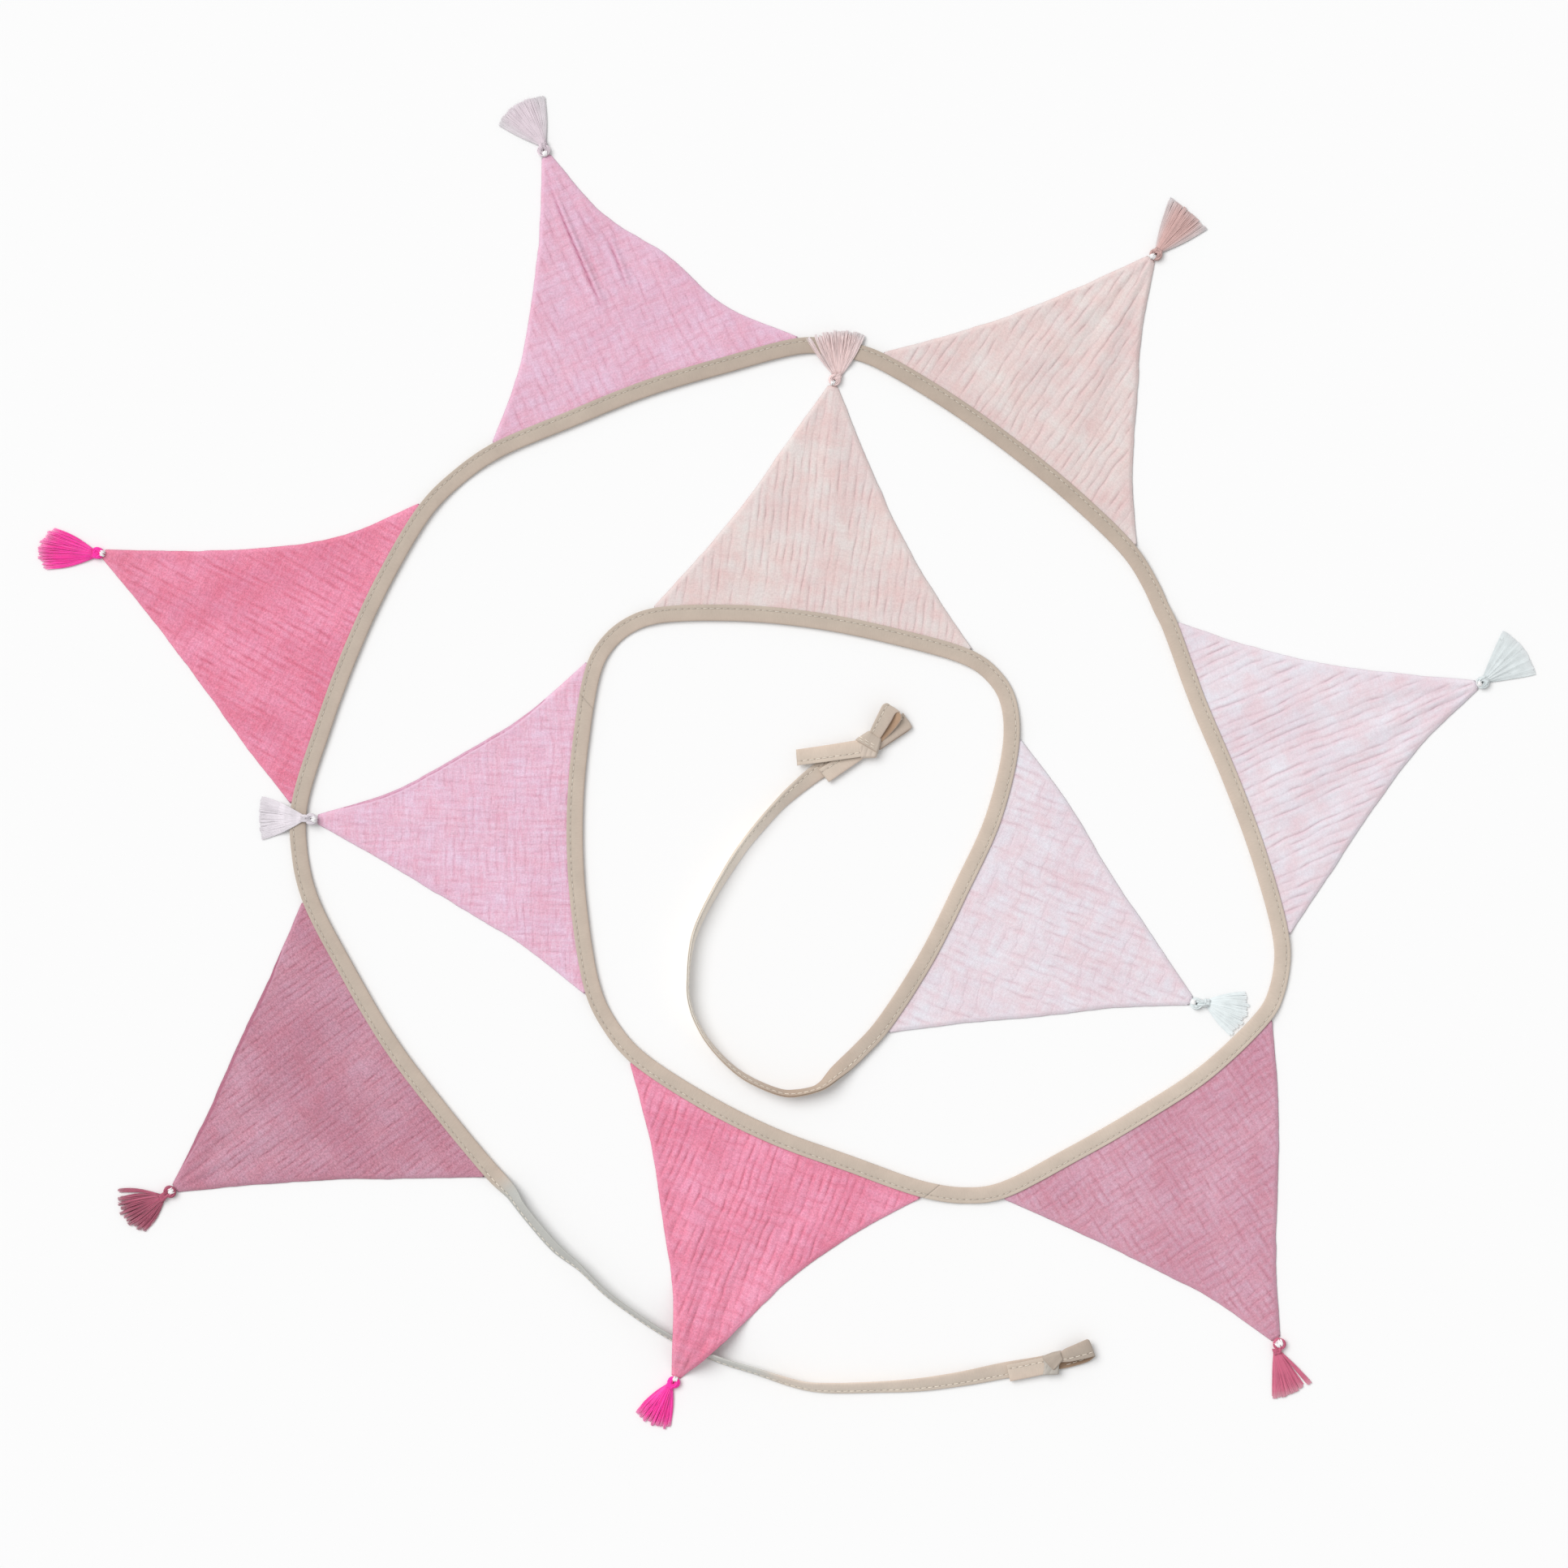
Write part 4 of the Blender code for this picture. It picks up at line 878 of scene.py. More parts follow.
    def peek(self, points):
        """Where the lower layer shows: how near the step down to it is, which also gets painted shade, how dark the
        painted shade on the lower layer is, and how near the upper layer's lip is, which gets a painted highlight."""
        if self.plan.flag.number not in PEEK:
            return np.zeros((3, len(points)))
        side, width, dark = PEEK[self.plan.flag.number]
        off, place = off_line(points, getattr(self.plan, side))
        width = width * smooth(0.10, 0.34, place) * (1 - smooth(0.80, 0.97, place))
        shown = width > 0.35
        groove = np.exp(-((off - width) / 0.34) ** 2) * shown
        return groove, dark * (off < width) * shown, np.exp(-((off - width - 0.85) / 0.40) ** 2) * shown

    def edge_heights(self, outline):
        return self.FREE_EDGE + self.lift(outline) + self.HELD_EDGE * self.held(outline)

    def top(self, points):
        rim = off_line(points, self.plan.free)[0]
        held = self.held(points)
        height = self.folds(points)
        groove, lower_layer, lip = self.peek(points)
        full = self.EDGE_TOP + self.thickness * smooth(0.0, 2.4, rim) + 0.10 * np.exp(-((rim - 1.6) / 0.9) ** 2)
        body = full + self.waves(points) + height * (0.25 + 0.75 * smooth(0.3, 4.0, rim))
        body -= self.STEP_DOWN * groove + self.LAYER_DOWN * lower_layer - self.LIP_UP * lip
        for crease, off, strength in self.long_folds(points):
            body -= 0.35 * crease.height * strength * np.exp(-(off / self.FOLD_CUT) ** 2)
        body = np.maximum(body, self.LOWEST_TOP)
        return self.lift(points) + body * (1 - held) + self.HELD_TOP * held

    def bottom(self, points):
        held = self.held(points)
        height = self.folds(points)
        return self.lift(points) + np.clip(0.12 + 0.30 * height, 0.0, 0.35) * (1 - held) + self.HELD_UNDER * held

    def grain(self, points, on_top):
        u, v = self.plan.local(points)
        return np.column_stack((u + self.GRAIN_SHIFT * self.plan.flag.number, v, np.zeros(len(points)))) * MM

    def fold(self, points, on_top):
        s, t, _, _ = self.crease_lines(points)
        return np.column_stack((s, t, np.zeros(len(points))))

    def creased(self, points, on_top):
        """How creased the cloth is along and across, and the painted shade in the step down to its lower layer, on
        that layer and along the long folds' lines.
        """
        _, _, along, across = self.crease_lines(points)
        groove, lower_layer, _ = self.peek(points)
        deep_shade = 1.2 * groove * lower_layer.max(initial=0.0) + lower_layer
        for crease, off, strength in self.long_folds(points):
            deep_shade = deep_shade + 0.45 * crease.height * strength * np.exp(-(off / self.FOLD_CUT) ** 2)
        return np.column_stack((along, across, np.clip(deep_shade, 0.0, 1.0)))

    def rim(self, points, on_top):
        """How pale the cloth is at its pressed edges, and the painted highlight on the lip of its upper layer."""
        off = off_line(points, self.plan.free)[0]
        return np.maximum(0.25 * (1.0 - smooth(0.5, 3.5, off)), 0.9 * self.peek(points)[2])


# ---- Finishes ----

class Finish:
    """A material under way: a Principled shader and the nodes that lead to it."""

    def __init__(self, name, roughness, sheen=0.0):
        self.material = bpy.data.materials.new(name)
        self.material.use_nodes = True
        self.tree = self.material.node_tree
        self.shader = self.tree.nodes["Principled BSDF"]
        self.shader.inputs["Roughness"].default_value = roughness
        self.shader.inputs["Specular IOR Level"].default_value = 0.25
        self.shader.inputs["Sheen Weight"].default_value = sheen
        self.shader.inputs["Sheen Roughness"].default_value = 0.6

    def node(self, kind, output, inputs=None, **settings):
        """Add a node with its settings and inputs, a value or a link each, and return one of its outputs."""
        item = self.tree.nodes.new(kind)
        for key, value in settings.items():
            setattr(item, key, value)
        for key, value in (inputs or {}).items():
            if isinstance(value, bpy.types.NodeSocket):
                self.tree.links.new(value, item.inputs[key])
            else:
                item.inputs[key].default_value = value
        return item.outputs[output]

    def value(self, name, output="Fac"):
        """The corners' values of a name, as numbers or as vectors."""
        return self.node("ShaderNodeAttribute", output, attribute_name=name)

    def grain(self, turn=0.0, stretch=(1.0, 1.0, 1.0)):
        """The corners' grain coordinates, turned and stretched."""
        return self.node("ShaderNodeMapping", "Vector", {"Vector": self.value("grain", "Vector"),
                                                         "Rotation": (0.0, 0.0, turn), "Scale": stretch})

    def noise(self, vector, scale, detail=2.0):
        return self.node("ShaderNodeTexNoise", "Fac", {"Vector": vector, "Scale": scale, "Detail": detail})

    def math(self, operation, first, second=0.0):
        return self.node("ShaderNodeMath", "Value", {0: first, 1: second}, operation=operation)

    def times(self, first, second):
        return self.math("MULTIPLY", first, second)

    def spread(self, value, low, high, to_low=0.0, to_high=1.0):
        return self.node("ShaderNodeMapRange", "Result",
                         {"Value": value, "From Min": low, "From Max": high, "To Min": to_low, "To Max": to_high})

    def mix(self, share, first, second, blend="MIX"):
        """Two colours mixed; a colour is a link or three numbers."""
        first, second = (value if isinstance(value, bpy.types.NodeSocket) else (*value, 1.0)
                         for value in (first, second))
        return self.node("ShaderNodeMix", 2, {0: share, 6: first, 7: second}, data_type="RGBA", blend_type=blend)

    def multiply(self, colour, factor):
        """A colour times another, channel by channel."""
        return self.mix(1.0, colour, factor, blend="MULTIPLY")

    def parts(self, vector):
        """The X, Y and Z of a vector."""
        item = self.node("ShaderNodeSeparateXYZ", "X", {"Vector": vector}).node
        return item.outputs["X"], item.outputs["Y"], item.outputs["Z"]

    def weave(self, vector, pitch):
        """Plain weave: up where a thread of one set crosses over one of the other."""
        waves = [self.math("SINE", self.times(part, math.pi / pitch)) for part in self.parts(vector)[:2]]
        return self.times(*waves)

    def off_whole(self, value, scale):
        """The distance from a value to its nearest whole number, times a scale."""
        part = self.math("FRACT", self.math("ADD", value, 0.5))
        return self.times(self.math("ABSOLUTE", self.math("SUBTRACT", part, 0.5)), scale)

    def grey_level(self, shade):
        return self.node("ShaderNodeCombineColor", "Color", {"Red": shade, "Green": shade, "Blue": shade})

    def bump(self, height, distance, strength, normal=None):
        inputs = {"Height": height, "Distance": distance, "Strength": strength}
        if normal is not None:
            inputs["Normal"] = normal
        return self.node("ShaderNodeBump", "Normal", inputs)

    def wire(self, socket, value):
        self.tree.links.new(value, self.shader.inputs[socket])


def tinted(colour, factors):
    """A colour with each channel scaled."""
    return tuple(min(c * f, 1.0) for c, f in zip(colour, factors))


def swung(much, channels):
    """Factors for a colour's three channels, each so far from 1."""
    return tuple(1.0 + much * channel for channel in channels)


def gauze_finish(name, colour, look, settings):
    """Crinkled cotton gauze: mottled dye, painted shade in the creases' valleys and along their lines, painted
    highlight on the ridges, painted shade where the lower layer shows, paler pressed edges with a painted highlight on
    the upper layer's lip, slubs and the weave itself.
    """
    finish = Finish(name, 0.92, sheen=0.10)
    colour = tinted(colour, [1.0 + look.fade * (1.0 - c) for c in colour])
    grain = finish.grain()
    patches = finish.spread(finish.noise(grain, 75.0, 3.0), 0.36, 0.64)
    base = finish.mix(patches, tinted(colour, (0.985, 1.05, 1.06)), tinted(colour, (1.0, 0.93, 0.93)))
    wide = finish.spread(finish.noise(grain, 24.0), 0.36, 0.64)
    uneven = finish.mix(wide, swung(look.patch, (0.06, 0.17, 0.15)), swung(-look.patch, (0.09, 0.20, 0.17)))
    base = finish.multiply(base, uneven)
    s, t, _ = finish.parts(finish.value("fold", "Vector"))
    along, across, layer = finish.parts(finish.value("creased", "Vector"))
    broken = finish.noise(finish.grain(stretch=(1.0, 0.42, 1.0)), 620.0, 1.0)
    broken = finish.spread(broken, 0.44, 0.56, 1.0 - look.dash, 1.0)
    lines = []
    highest = max(look.ridge, look.cross)
    for place, pitch, alive, height in ((s, look.pitch, along, look.ridge), (t, look.cross_pitch, across, look.cross)):
        weight = (height / highest) ** 0.8
        off = finish.off_whole(place, pitch)
        # Painted shade in each crease's valley and painted highlight on the ridge beside it.
        valley_shade = finish.times(finish.spread(off, 0.0, pitch * 0.34, weight, 0.0), alive)
        crest_highlight = finish.times(finish.spread(off, pitch * 0.24, pitch * 0.46, 0.0, weight), alive)
        base = finish.mix(finish.times(valley_shade, 0.80 * look.tone), base,
                          tinted(colour, (0.955, 0.83, 0.85)))
        base = finish.mix(finish.times(crest_highlight, 0.60 * look.tone), base, tinted(colour, (1.0, 1.13, 1.13)))
        # Painted shade along the crease lines, broken into dashes and mixed into the colour below; the same lines also
        # sink the bump.
        line = finish.times(finish.spread(off, 0.10, 0.80, weight, 0.0), alive)
        lines.append(finish.times(line, broken))
    line = finish.math("MAXIMUM", *lines)
    base = finish.mix(finish.times(line, look.line * 0.75), base, tinted(colour, (0.74, 0.56, 0.60)))
    # Painted shade where the lower layer shows, in the step down to it and along the long folds' lines.
    base = finish.mix(layer, base, tinted(colour, (0.62, 0.34, 0.44)))
    slub_one = finish.noise(finish.grain(stretch=(1.0, 0.40, 1.0)), 1500.0, 1.0)
    slub_two = finish.noise(finish.grain(stretch=(0.40, 1.0, 1.0)), 1500.0, 1.0)
    slubs = finish.math("ADD", slub_one, slub_two)
    specks = finish.spread(slubs, 0.75, 1.25, 1.0 - look.speck, 1.0 + look.speck)
    bundles = finish.math("ADD", finish.noise(finish.grain(stretch=(1.0, 0.13, 1.0)), 560.0),
                          finish.noise(finish.grain(stretch=(0.16, 1.0, 1.0)), 640.0))
    streaks = finish.spread(bundles, 0.80, 1.20, 1.0, 0.0)
    base = finish.multiply(base, finish.mix(streaks, swung(look.streak, (0.35, 1.2, 1.0)),
                                            swung(-look.streak, (0.35, 1.4, 1.1))))
    base = finish.multiply(base, finish.grey_level(specks))
    # Paler at the pressed edges, and a painted highlight on the upper layer's lip.
    base = finish.mix(finish.value("rim"), base, tinted(colour, (1.02, 1.09, 1.09)))
    finish.wire("Base Color", base)
    rough = finish.bump(finish.noise(grain, 620.0), 0.00018, 0.7)
    creased = finish.bump(finish.times(line, -1.0), 0.00025, 0.8, rough)
    threads = finish.bump(slubs, 0.00010, 0.7, creased)
    finish.wire("Normal", finish.bump(finish.weave(grain, settings.thread_pitch), 0.00003, 0.8, threads))
    return finish.material


def binding_finish(settings):
    """Cotton binding cut on the bias: warmer along its fold, grey where the tie is, painted warm shade where the
    inside values say, a lightness set place by place that paints in light and shade, and painted shade along the
    stitch line, deeper at the holes.
    """
    finish = Finish("Binding cotton", 0.88, sheen=0.08)
    place = finish.grain()
    cloth = finish.mix(finish.spread(finish.value("edge"), -1.0, 0.1, 0.75, 0.0),
                       settings.colour, settings.fold_colour)
    cloth = finish.mix(finish.value("grey"), cloth, settings.grey_colour)
    # Painted warm shade, as far as the inside values say.
    cloth = finish.mix(finish.value("inside"), cloth, settings.painted_shade_colour)
    patches = finish.spread(finish.noise(place, 60.0, 3.0), 0.3, 0.7, 0.95, 1.04)
    slubs = finish.spread(finish.noise(finish.grain(math.pi / 4, (1.0, 0.2, 1.0)), 1500.0, 1.0),
                          0.3, 0.7, 0.97, 1.03)
    # The tone value lightens or darkens the cloth place by place, painting in light and shade.
    shade = finish.times(finish.times(patches, slubs), finish.value("tone"))
    cloth = finish.multiply(cloth, finish.grey_level(shade))
    length, n, _ = finish.parts(place)
    row = settings.width / 2 - settings.stitch_inset
    # Painted shade along the stitch line, deeper at the holes.
    off_row = finish.math("ABSOLUTE", finish.math("SUBTRACT", n, row))
    hole = finish.off_whole(finish.math("SUBTRACT", finish.math("DIVIDE", length, settings.stitch_pitch), 0.5),
                            settings.stitch_pitch)
    hole = finish.spread(hole, 0.0003, 0.0009, 1.0, 0.0)
    groove = finish.spread(off_row, 0.0002, 0.00055, 1.0, 0.0)
    painted_stitch_shade = finish.times(groove, finish.math("ADD", finish.times(hole, 0.38), 0.10))
    cloth = finish.mix(painted_stitch_shade, cloth, tinted(settings.colour, (0.36, 0.34, 0.33)))
    finish.wire("Base Color", cloth)
    soft = finish.bump(finish.noise(place, 260.0), 0.00014, 0.6)
    sunk = finish.bump(finish.times(groove, -1.0), 0.00012, 0.7, soft)
    finish.wire("Normal", finish.bump(finish.weave(finish.grain(turn=math.pi / 4), 0.00034), 0.00002, 0.8, sunk))
    return finish.material


PALE_THREAD = (0.90, 0.88, 0.90)


def thread_finish(name, colour):
    """Spun thread: a little lustre, fine twist, and a shade and paleness of its own for each strand, which in a skirt
    also paints the lower strands darker.
    """
    finish = Finish(name, 0.62, sheen=0.25)
    place = finish.node("ShaderNodeTexCoord", "Object")
    dye = finish.spread(finish.noise(place, 160.0), 0.3, 0.7, 0.94, 1.05)
    shade = finish.times(dye, finish.value("shade"))
    thread = finish.mix(finish.value("pale"), colour, PALE_THREAD)
    finish.wire("Base Color", finish.multiply(thread, finish.grey_level(shade)))
    finish.wire("Normal", finish.bump(finish.noise(place, 1800.0), 0.00008, 0.7))
    return finish.material


def floor_finish(colour):
    """Matt painted board: pale, with the faintest unevenness."""
    finish = Finish("Studio floor", 0.95)
    place = finish.node("ShaderNodeTexCoord", "Object")
    cloud = finish.noise(place, 1.3)
    finish.wire("Base Color", finish.mix(finish.spread(cloud, 0.0, 1.0, 0.0, 0.06), colour, (0.88, 0.88, 0.88)))
    return finish.material


# ---- Stitches ----

def add_stitches(draft, point, begin, end, settings, seed, bright):
    """Stitches along a strip, from hole to hole. Point gives the thread's places, for arc lengths and for how far
    it stands above the cloth. Bright is how light the thread looks, in all or stitch by stitch."""
    chance = random.Random(seed)
    pitch = settings.stitch_pitch / MM
    half = settings.stitch_length / MM / 2
    swell = settings.thread_width / MM / 2 * np.array((0.7, 1.0, 1.08, 1.0, 0.7))
    rise = np.array((-0.22, 0.06, 0.14, 0.06, -0.22))
    share = np.array((-1.0, -0.82, 0.0, 0.82, 1.0))
    count = int((end - begin - pitch) / pitch)
    for k in range(count):
        middle = begin + pitch * (k + 1)
        path = point(middle + share * half, rise)
        corners, faces = tube(path, swell, THREAD_SIDES)
        shade = chance.uniform(0.90, 1.10) * (bright if np.isscalar(bright) else bright[k])
        draft.add(corners, faces, shade=np.full(len(corners), shade))


# ---- Operators ----

def tape_span(route, index):
    """The arc lengths that one length of binding runs between."""
    cuts = [0.0, *route.seams(), route.total]
    return cuts[index] + SEAM_GAP / 2, cuts[index + 1] - SEAM_GAP / 2


class BindingSurface:
    """Places on the laid-out binding, by arc length, n and b."""

    def __init__(self, route, settings):
        self.route = route
        self.folded = Folded(settings)

    def sections(self, lengths):
        """Corners of the sections at arc lengths, sheared to the bias near a seam: places, n and the lengths."""
        lengths = np.asarray(lengths, dtype=float)
        opening = self.route.at(lengths)[3]
        n, b = self.folded.section(lengths, opening)
        where = lengths[:, None] * np.ones_like(n)
        for seam in self.route.seams():
            near = 1 - smooth(0.0, SHEAR_REACH, np.abs(lengths - seam))
            where = where + n * SHEAR * near[:, None]
        where = np.clip(where, 0.0, self.route.total)
        place, outward, roll, _ = self.route.at(where)
        across, up = turned(n, b, roll)
        spot = place + outward * across[..., None]
        return np.concatenate((spot, (up - up.min(axis=1, keepdims=True))[..., None]), axis=-1), n, where

    def foot(self, lengths):
        """How far the section's middle is above the surface."""
        lengths = np.asarray(lengths, dtype=float)
        _, _, roll, opening = self.route.at(lengths)
        n, b = self.folded.section(lengths, opening)
        _, up = turned(n, b, roll[:, None])
        return -up.min(axis=1)

    def stitch_point(self, side):
        """A function of arc lengths and rises, on the upper face for side 1 and the lower for -1."""

        def point(lengths, rise):
            place, outward, roll, opening = self.route.at(lengths)
            n = np.full(len(lengths), self.folded.stitch_n)
            b = side * (self.folded.tall(opening) - STITCH_SINK + rise)
            across, up = turned(n, b, roll)
            high = np.maximum(up + self.foot(lengths), self.folded.thread)
            return np.column_stack((place + outward * across[:, None], high))

        return point

    def grey(self, lengths):
        first, last = (self.route.nearest(place)[0] for place in GREY_STRETCH)
        return smooth(first - GREY_FADE, first + GREY_FADE, lengths) * (
            1 - smooth(last - GREY_FADE / 2, last + GREY_FADE / 2, lengths))

    def dye(self, lengths):
        """How light the binding is at arc lengths, partly painted light and shade, and its painted warm shade, or if
        negative its grey.
        """
        places = [self.route.nearest(row[:2])[0] for row in DYES]
        _, _, tones, warm_shades_or_greys = zip(*DYES)
        return np.interp(lengths, places, tones), np.interp(lengths, places, warm_shades_or_greys)


class BUNTING_OT_binding(bpy.types.Operator):
    """Lay the three lengths of folded binding and their rows of stitches"""
    bl_idname = "bunting.binding"
    bl_label = "Binding"

    STEPS_A_STITCH = 3      # sections from one stitch to the next

    def execute(self, context):
        settings = context.scene.bunting_binding
        route = Route(control_points())
        surface = BindingSurface(route, settings)
        cloth = binding_finish(settings)
        thread = thread_finish("Sewing thread", settings.stitch_colour)
        step = settings.stitch_pitch / MM / self.STEPS_A_STITCH
        tie_ends = (route.nearest(FLAGS[0].start)[0], route.nearest(FLAGS[-1].end)[0])
        for index, name in enumerate(TAPE_NAMES):
            begin, end = tape_span(route, index)
            lengths = np.linspace(begin, end, int((end - begin) / step))
            corners, n, where = surface.sections(lengths)
            # Lightness with painted light and shade; positive values add painted warm shade, negative ones grey.
            tone, warm_shade_or_grey = surface.dye(where)
            draft = Draft()
            draft.add(corners.reshape(-1, 3), capped_faces(*n.shape),
                      **strip_values(n, where - begin, surface.folded.half,
                                     np.maximum(surface.grey(where), -warm_shade_or_grey), np.maximum(warm_shade_or_grey, 0.0), tone))
            tape = draft.finish(f"binding_{name}", [cloth], "binding", f"tape_{name}")
            sewing = Draft()
            places = np.arange(begin, end, settings.stitch_pitch / MM)
            bright = 1.0 + (TIE_STITCHES - 1.0) * ((places < tie_ends[0]) | (places > tie_ends[1]))
            add_stitches(sewing, surface.stitch_point(1), begin, end, settings, index, bright)
            if index == 0:
                add_stitches(sewing, surface.stitch_point(-1), begin, tie_ends[0], settings, 10, TIE_STITCHES)
            if index == 2:
                add_stitches(sewing, surface.stitch_point(-1), tie_ends[1], end, settings, 12, TIE_STITCHES)
            stitches = sewing.finish(f"stitches_{name}", [thread], "binding")
        return {"FINISHED"}


class BUNTING_OT_flags(bpy.types.Operator):
    """Lay the ten flags of crinkled gauze"""
    bl_idname = "bunting.flags"
    bl_label = "Flags"

    RINGS = (0.35, 0.9, 1.5, 2.2)   # rows of corners that follow the outline, by their distance from it
    UNDER_STEP = 2.6        # edge of the triangles on the underside

    def execute(self, context):
        settings = context.scene.bunting_cloth
        half = context.scene.bunting_binding.width / MM / 2
        route = Route(control_points())
        seams = route.seams()
        for flag in FLAGS:
            plan = FlagPlan(flag, route, half)
            gauze = Gauze(plan, settings)
            draft = Draft()
            sheet_between(draft, plan.outline, gauze.top, gauze.bottom, self.RINGS, settings.mesh_step / MM,
                          self.UNDER_STEP, gauze.edge_heights, grain=gauze.grain, fold=gauze.fold,
                          creased=gauze.creased, rim=gauze.rim)
            finish = gauze_finish(f"Gauze {flag.colour} {flag.number:02d}", getattr(settings, flag.colour),
                                  gauze.look, settings)
            cloth = draft.finish(f"flag_cloth_{flag.number:02d}", [finish], f"{flag.colour}_cloth",
                                 f"flag_{flag.number:02d}")
            middle = route.nearest(plan.origin)[0]
            u, v = plan.local(plan.outline)
            np.ptp(u) * MM
            np.ptp(v) * MM
            plan.area() * MM * MM
        return {"FINISHED"}


def resting_height(route, place, tall):
    """How high a thread must lie to clear the binding under it."""
    length, off = route.nearest(place)
    opening = route.at([length])[3][0]
    ramp = min(max((OVER_TAPE_FAR - off) / (OVER_TAPE_FAR - OVER_TAPE_NEAR), 0.0), 1.0)
    return (2 * tall(opening) + OVER_TAPE_GAP) * ramp


def skirt_axes(tassel):
    """Unit vectors along the skirt and across it, from its first corner's side to its last's."""
    along = unit(np.subtract(tassel.middle, tassel.neck))
    across = left_of(along)
    if np.dot(np.subtract(tassel.last, tassel.first), across) < 0:
        across = -across
    return along, across


class BUNTING_OT_tassels(bpy.types.Operator):
    """Make the ten thread tassels: looped head, bound neck and skirt"""
    bl_idname = "bunting.tassels"
    bl_label = "Tassels"

    HEAD_LOOPS = (4, 7)     # layers of loops, and loops side by side in each
    NECK_TURNS = 6
    UNDER_STRANDS = 44      # broad soft strands under the skirt's fine ones
    NECK_THREAD = 0.32      # half the thickness of the thread round the neck
    LOOP_STEPS, NECK_STEPS = 15, 18

    def execute(self, context):
        self.settings = context.scene.bunting_tassels
        self.route = Route(control_points())
        self.tall = Folded(context.scene.bunting_binding).tall
        finishes = {name: thread_finish(f"Tassel thread {name}", getattr(self.settings, name))
                    for name in ("rose", "magenta", "shell", "clay", "ice", "lilac")}
        for tassel, flag in zip(TASSELS, FLAGS):
            self.chance = random.Random(tassel.number)
            self.look = SKIRTS[tassel.number]
            self.base = OVER_TAPE.get(tassel.number, 0.0)
            self.along, self.across = skirt_axes(tassel)
            draft = Draft()
            self.add_head(draft, tassel, flag)
            self.add_neck(draft, tassel)
            self.add_under_strands(draft, tassel)
            self.add_skirt(draft, tassel)
            draft.finish(f"tassel_threads_{tassel.number:02d}", [finishes[tassel.colour]],
                         f"{tassel.colour}_thread", f"tassel_{tassel.number:02d}")
        return {"FINISHED"}

    def tinted_strand(self, draft, shape, shade, pale, rounded=True):
        corners, faces = shape
        pale = np.repeat(pale, len(corners) // np.size(pale))
        draft.add(corners, faces, rounded, shade=np.full(len(corners), shade), pale=pale)

    def add_head(self, draft, tassel, flag):
        """A close ring of plied loops from the neck, round the eye and back to it."""
        heading = flag_heading(flag)
        eye = np.array(flag.tip) + heading * (TIP_CLEARANCE + RING_OUTER) + left_of(heading) * self.look.ring_aside
        neck = np.array(tassel.neck)
        layers, beside = self.HEAD_LOOPS
        for k in range(layers * beside):
            layer, place = divmod(k, beside)
            reach = 1.05 + 0.39 * place + self.chance.uniform(-0.20, 0.20)
            spread = 0.05 + 0.42 * (place + 0.5) / beside
            corners = [neck + self.across * side * NECK_WIDTH * spread for side in (-1, 1)]
            if np.dot(left_of(corners[1] - corners[0]), eye - corners[0]) < 0:
                corners.reverse()
            angles = [math.atan2(*reversed(corner - eye)) for corner in corners]
            turn = (angles[0] - angles[1]) % (2 * math.pi)
            height = self.base + 0.50 + 0.62 * layer + 0.55 * math.sin(math.pi * (place + 0.5) / beside)
            height += self.chance.uniform(-0.12, 0.12)
            path = [(*(corners[0] + self.along * 0.9), height)]
            for step in range(self.LOOP_STEPS):
                angle = angles[0] - turn * (step + 0.6) / (self.LOOP_STEPS + 0.2)
                wobble = 0.22 * math.sin(2 * angle + 2.6 * k)
                spot = eye + np.array((math.cos(angle), math.sin(angle))) * (reach + wobble)
                path.append((*spot, height + 0.20 * math.sin(2 * angle + 2 * k)))
            path.append((*(corners[1] + self.along * 0.9), height))
            self.tinted_strand(draft, tube(path, self.settings.loop_width / MM / 2, THREAD_SIDES),
                               self.chance.uniform(0.78, 1.06) * self.look.tone, self.look.pale_middle)

    def add_neck(self, draft, tassel):
        """Turns of thread bound aslant round the neck."""
        angles = np.linspace(0.0, 2 * math.pi, self.NECK_STEPS + 1)[:-1]
        for k in range(self.NECK_TURNS):
            middle = np.array(tassel.neck) + self.along * (0.52 * k - 1.9)
            grow = 1.0 + 0.07 * math.sin(2.1 * k)
            lean = self.chance.uniform(0.1, 1.1)
            side = self.across * NECK_WIDTH * 0.47 * grow
            path = middle + np.cos(angles)[:, None] * side + self.along * (lean * np.cos(angles))[:, None]
            height = self.base + 1.62 + 1.42 * grow * np.sin(angles)
            self.tinted_strand(draft, tube(np.column_stack((path, height)), self.NECK_THREAD,
                                           THREAD_SIDES, closed=True),
                               self.chance.uniform(0.82, 1.04) * self.look.tone, self.look.pale_middle)

    def drawn(self, root, end, steps, off):
        """A strand's path from root to end, bowed by off."""
        return root * (1 - steps[:, None]) + end * steps[:, None] + self.across * off[:, None]

    def clearing(self, path):
        """How high a strand must lie along its path."""
        return np.array([resting_height(self.route, spot, self.tall) for spot in path])

    def paleness(self, place):
        share = float(smooth(0.45, 1.0, abs(2 * place - 1)))
        return self.look.pale_middle + (self.look.pale_side - self.look.pale_middle) * share

    def fanned(self, place):
        """Where along the skirt's edge a strand ends, gathered in locks, 0 to 1, and whether it stands off."""
        lock = (np.floor(place * self.look.locks) + 0.5) / self.look.locks
        spread = place + (lock - place) * self.look.gather * self.chance.uniform(0.6, 1.1)
        side = (2 * place - 1) * math.copysign(1.0, self.look.stray)
        return spread * 0.96 + 0.02, self.look.stray != 0.0 and side > 1 - 2 / self.look.locks

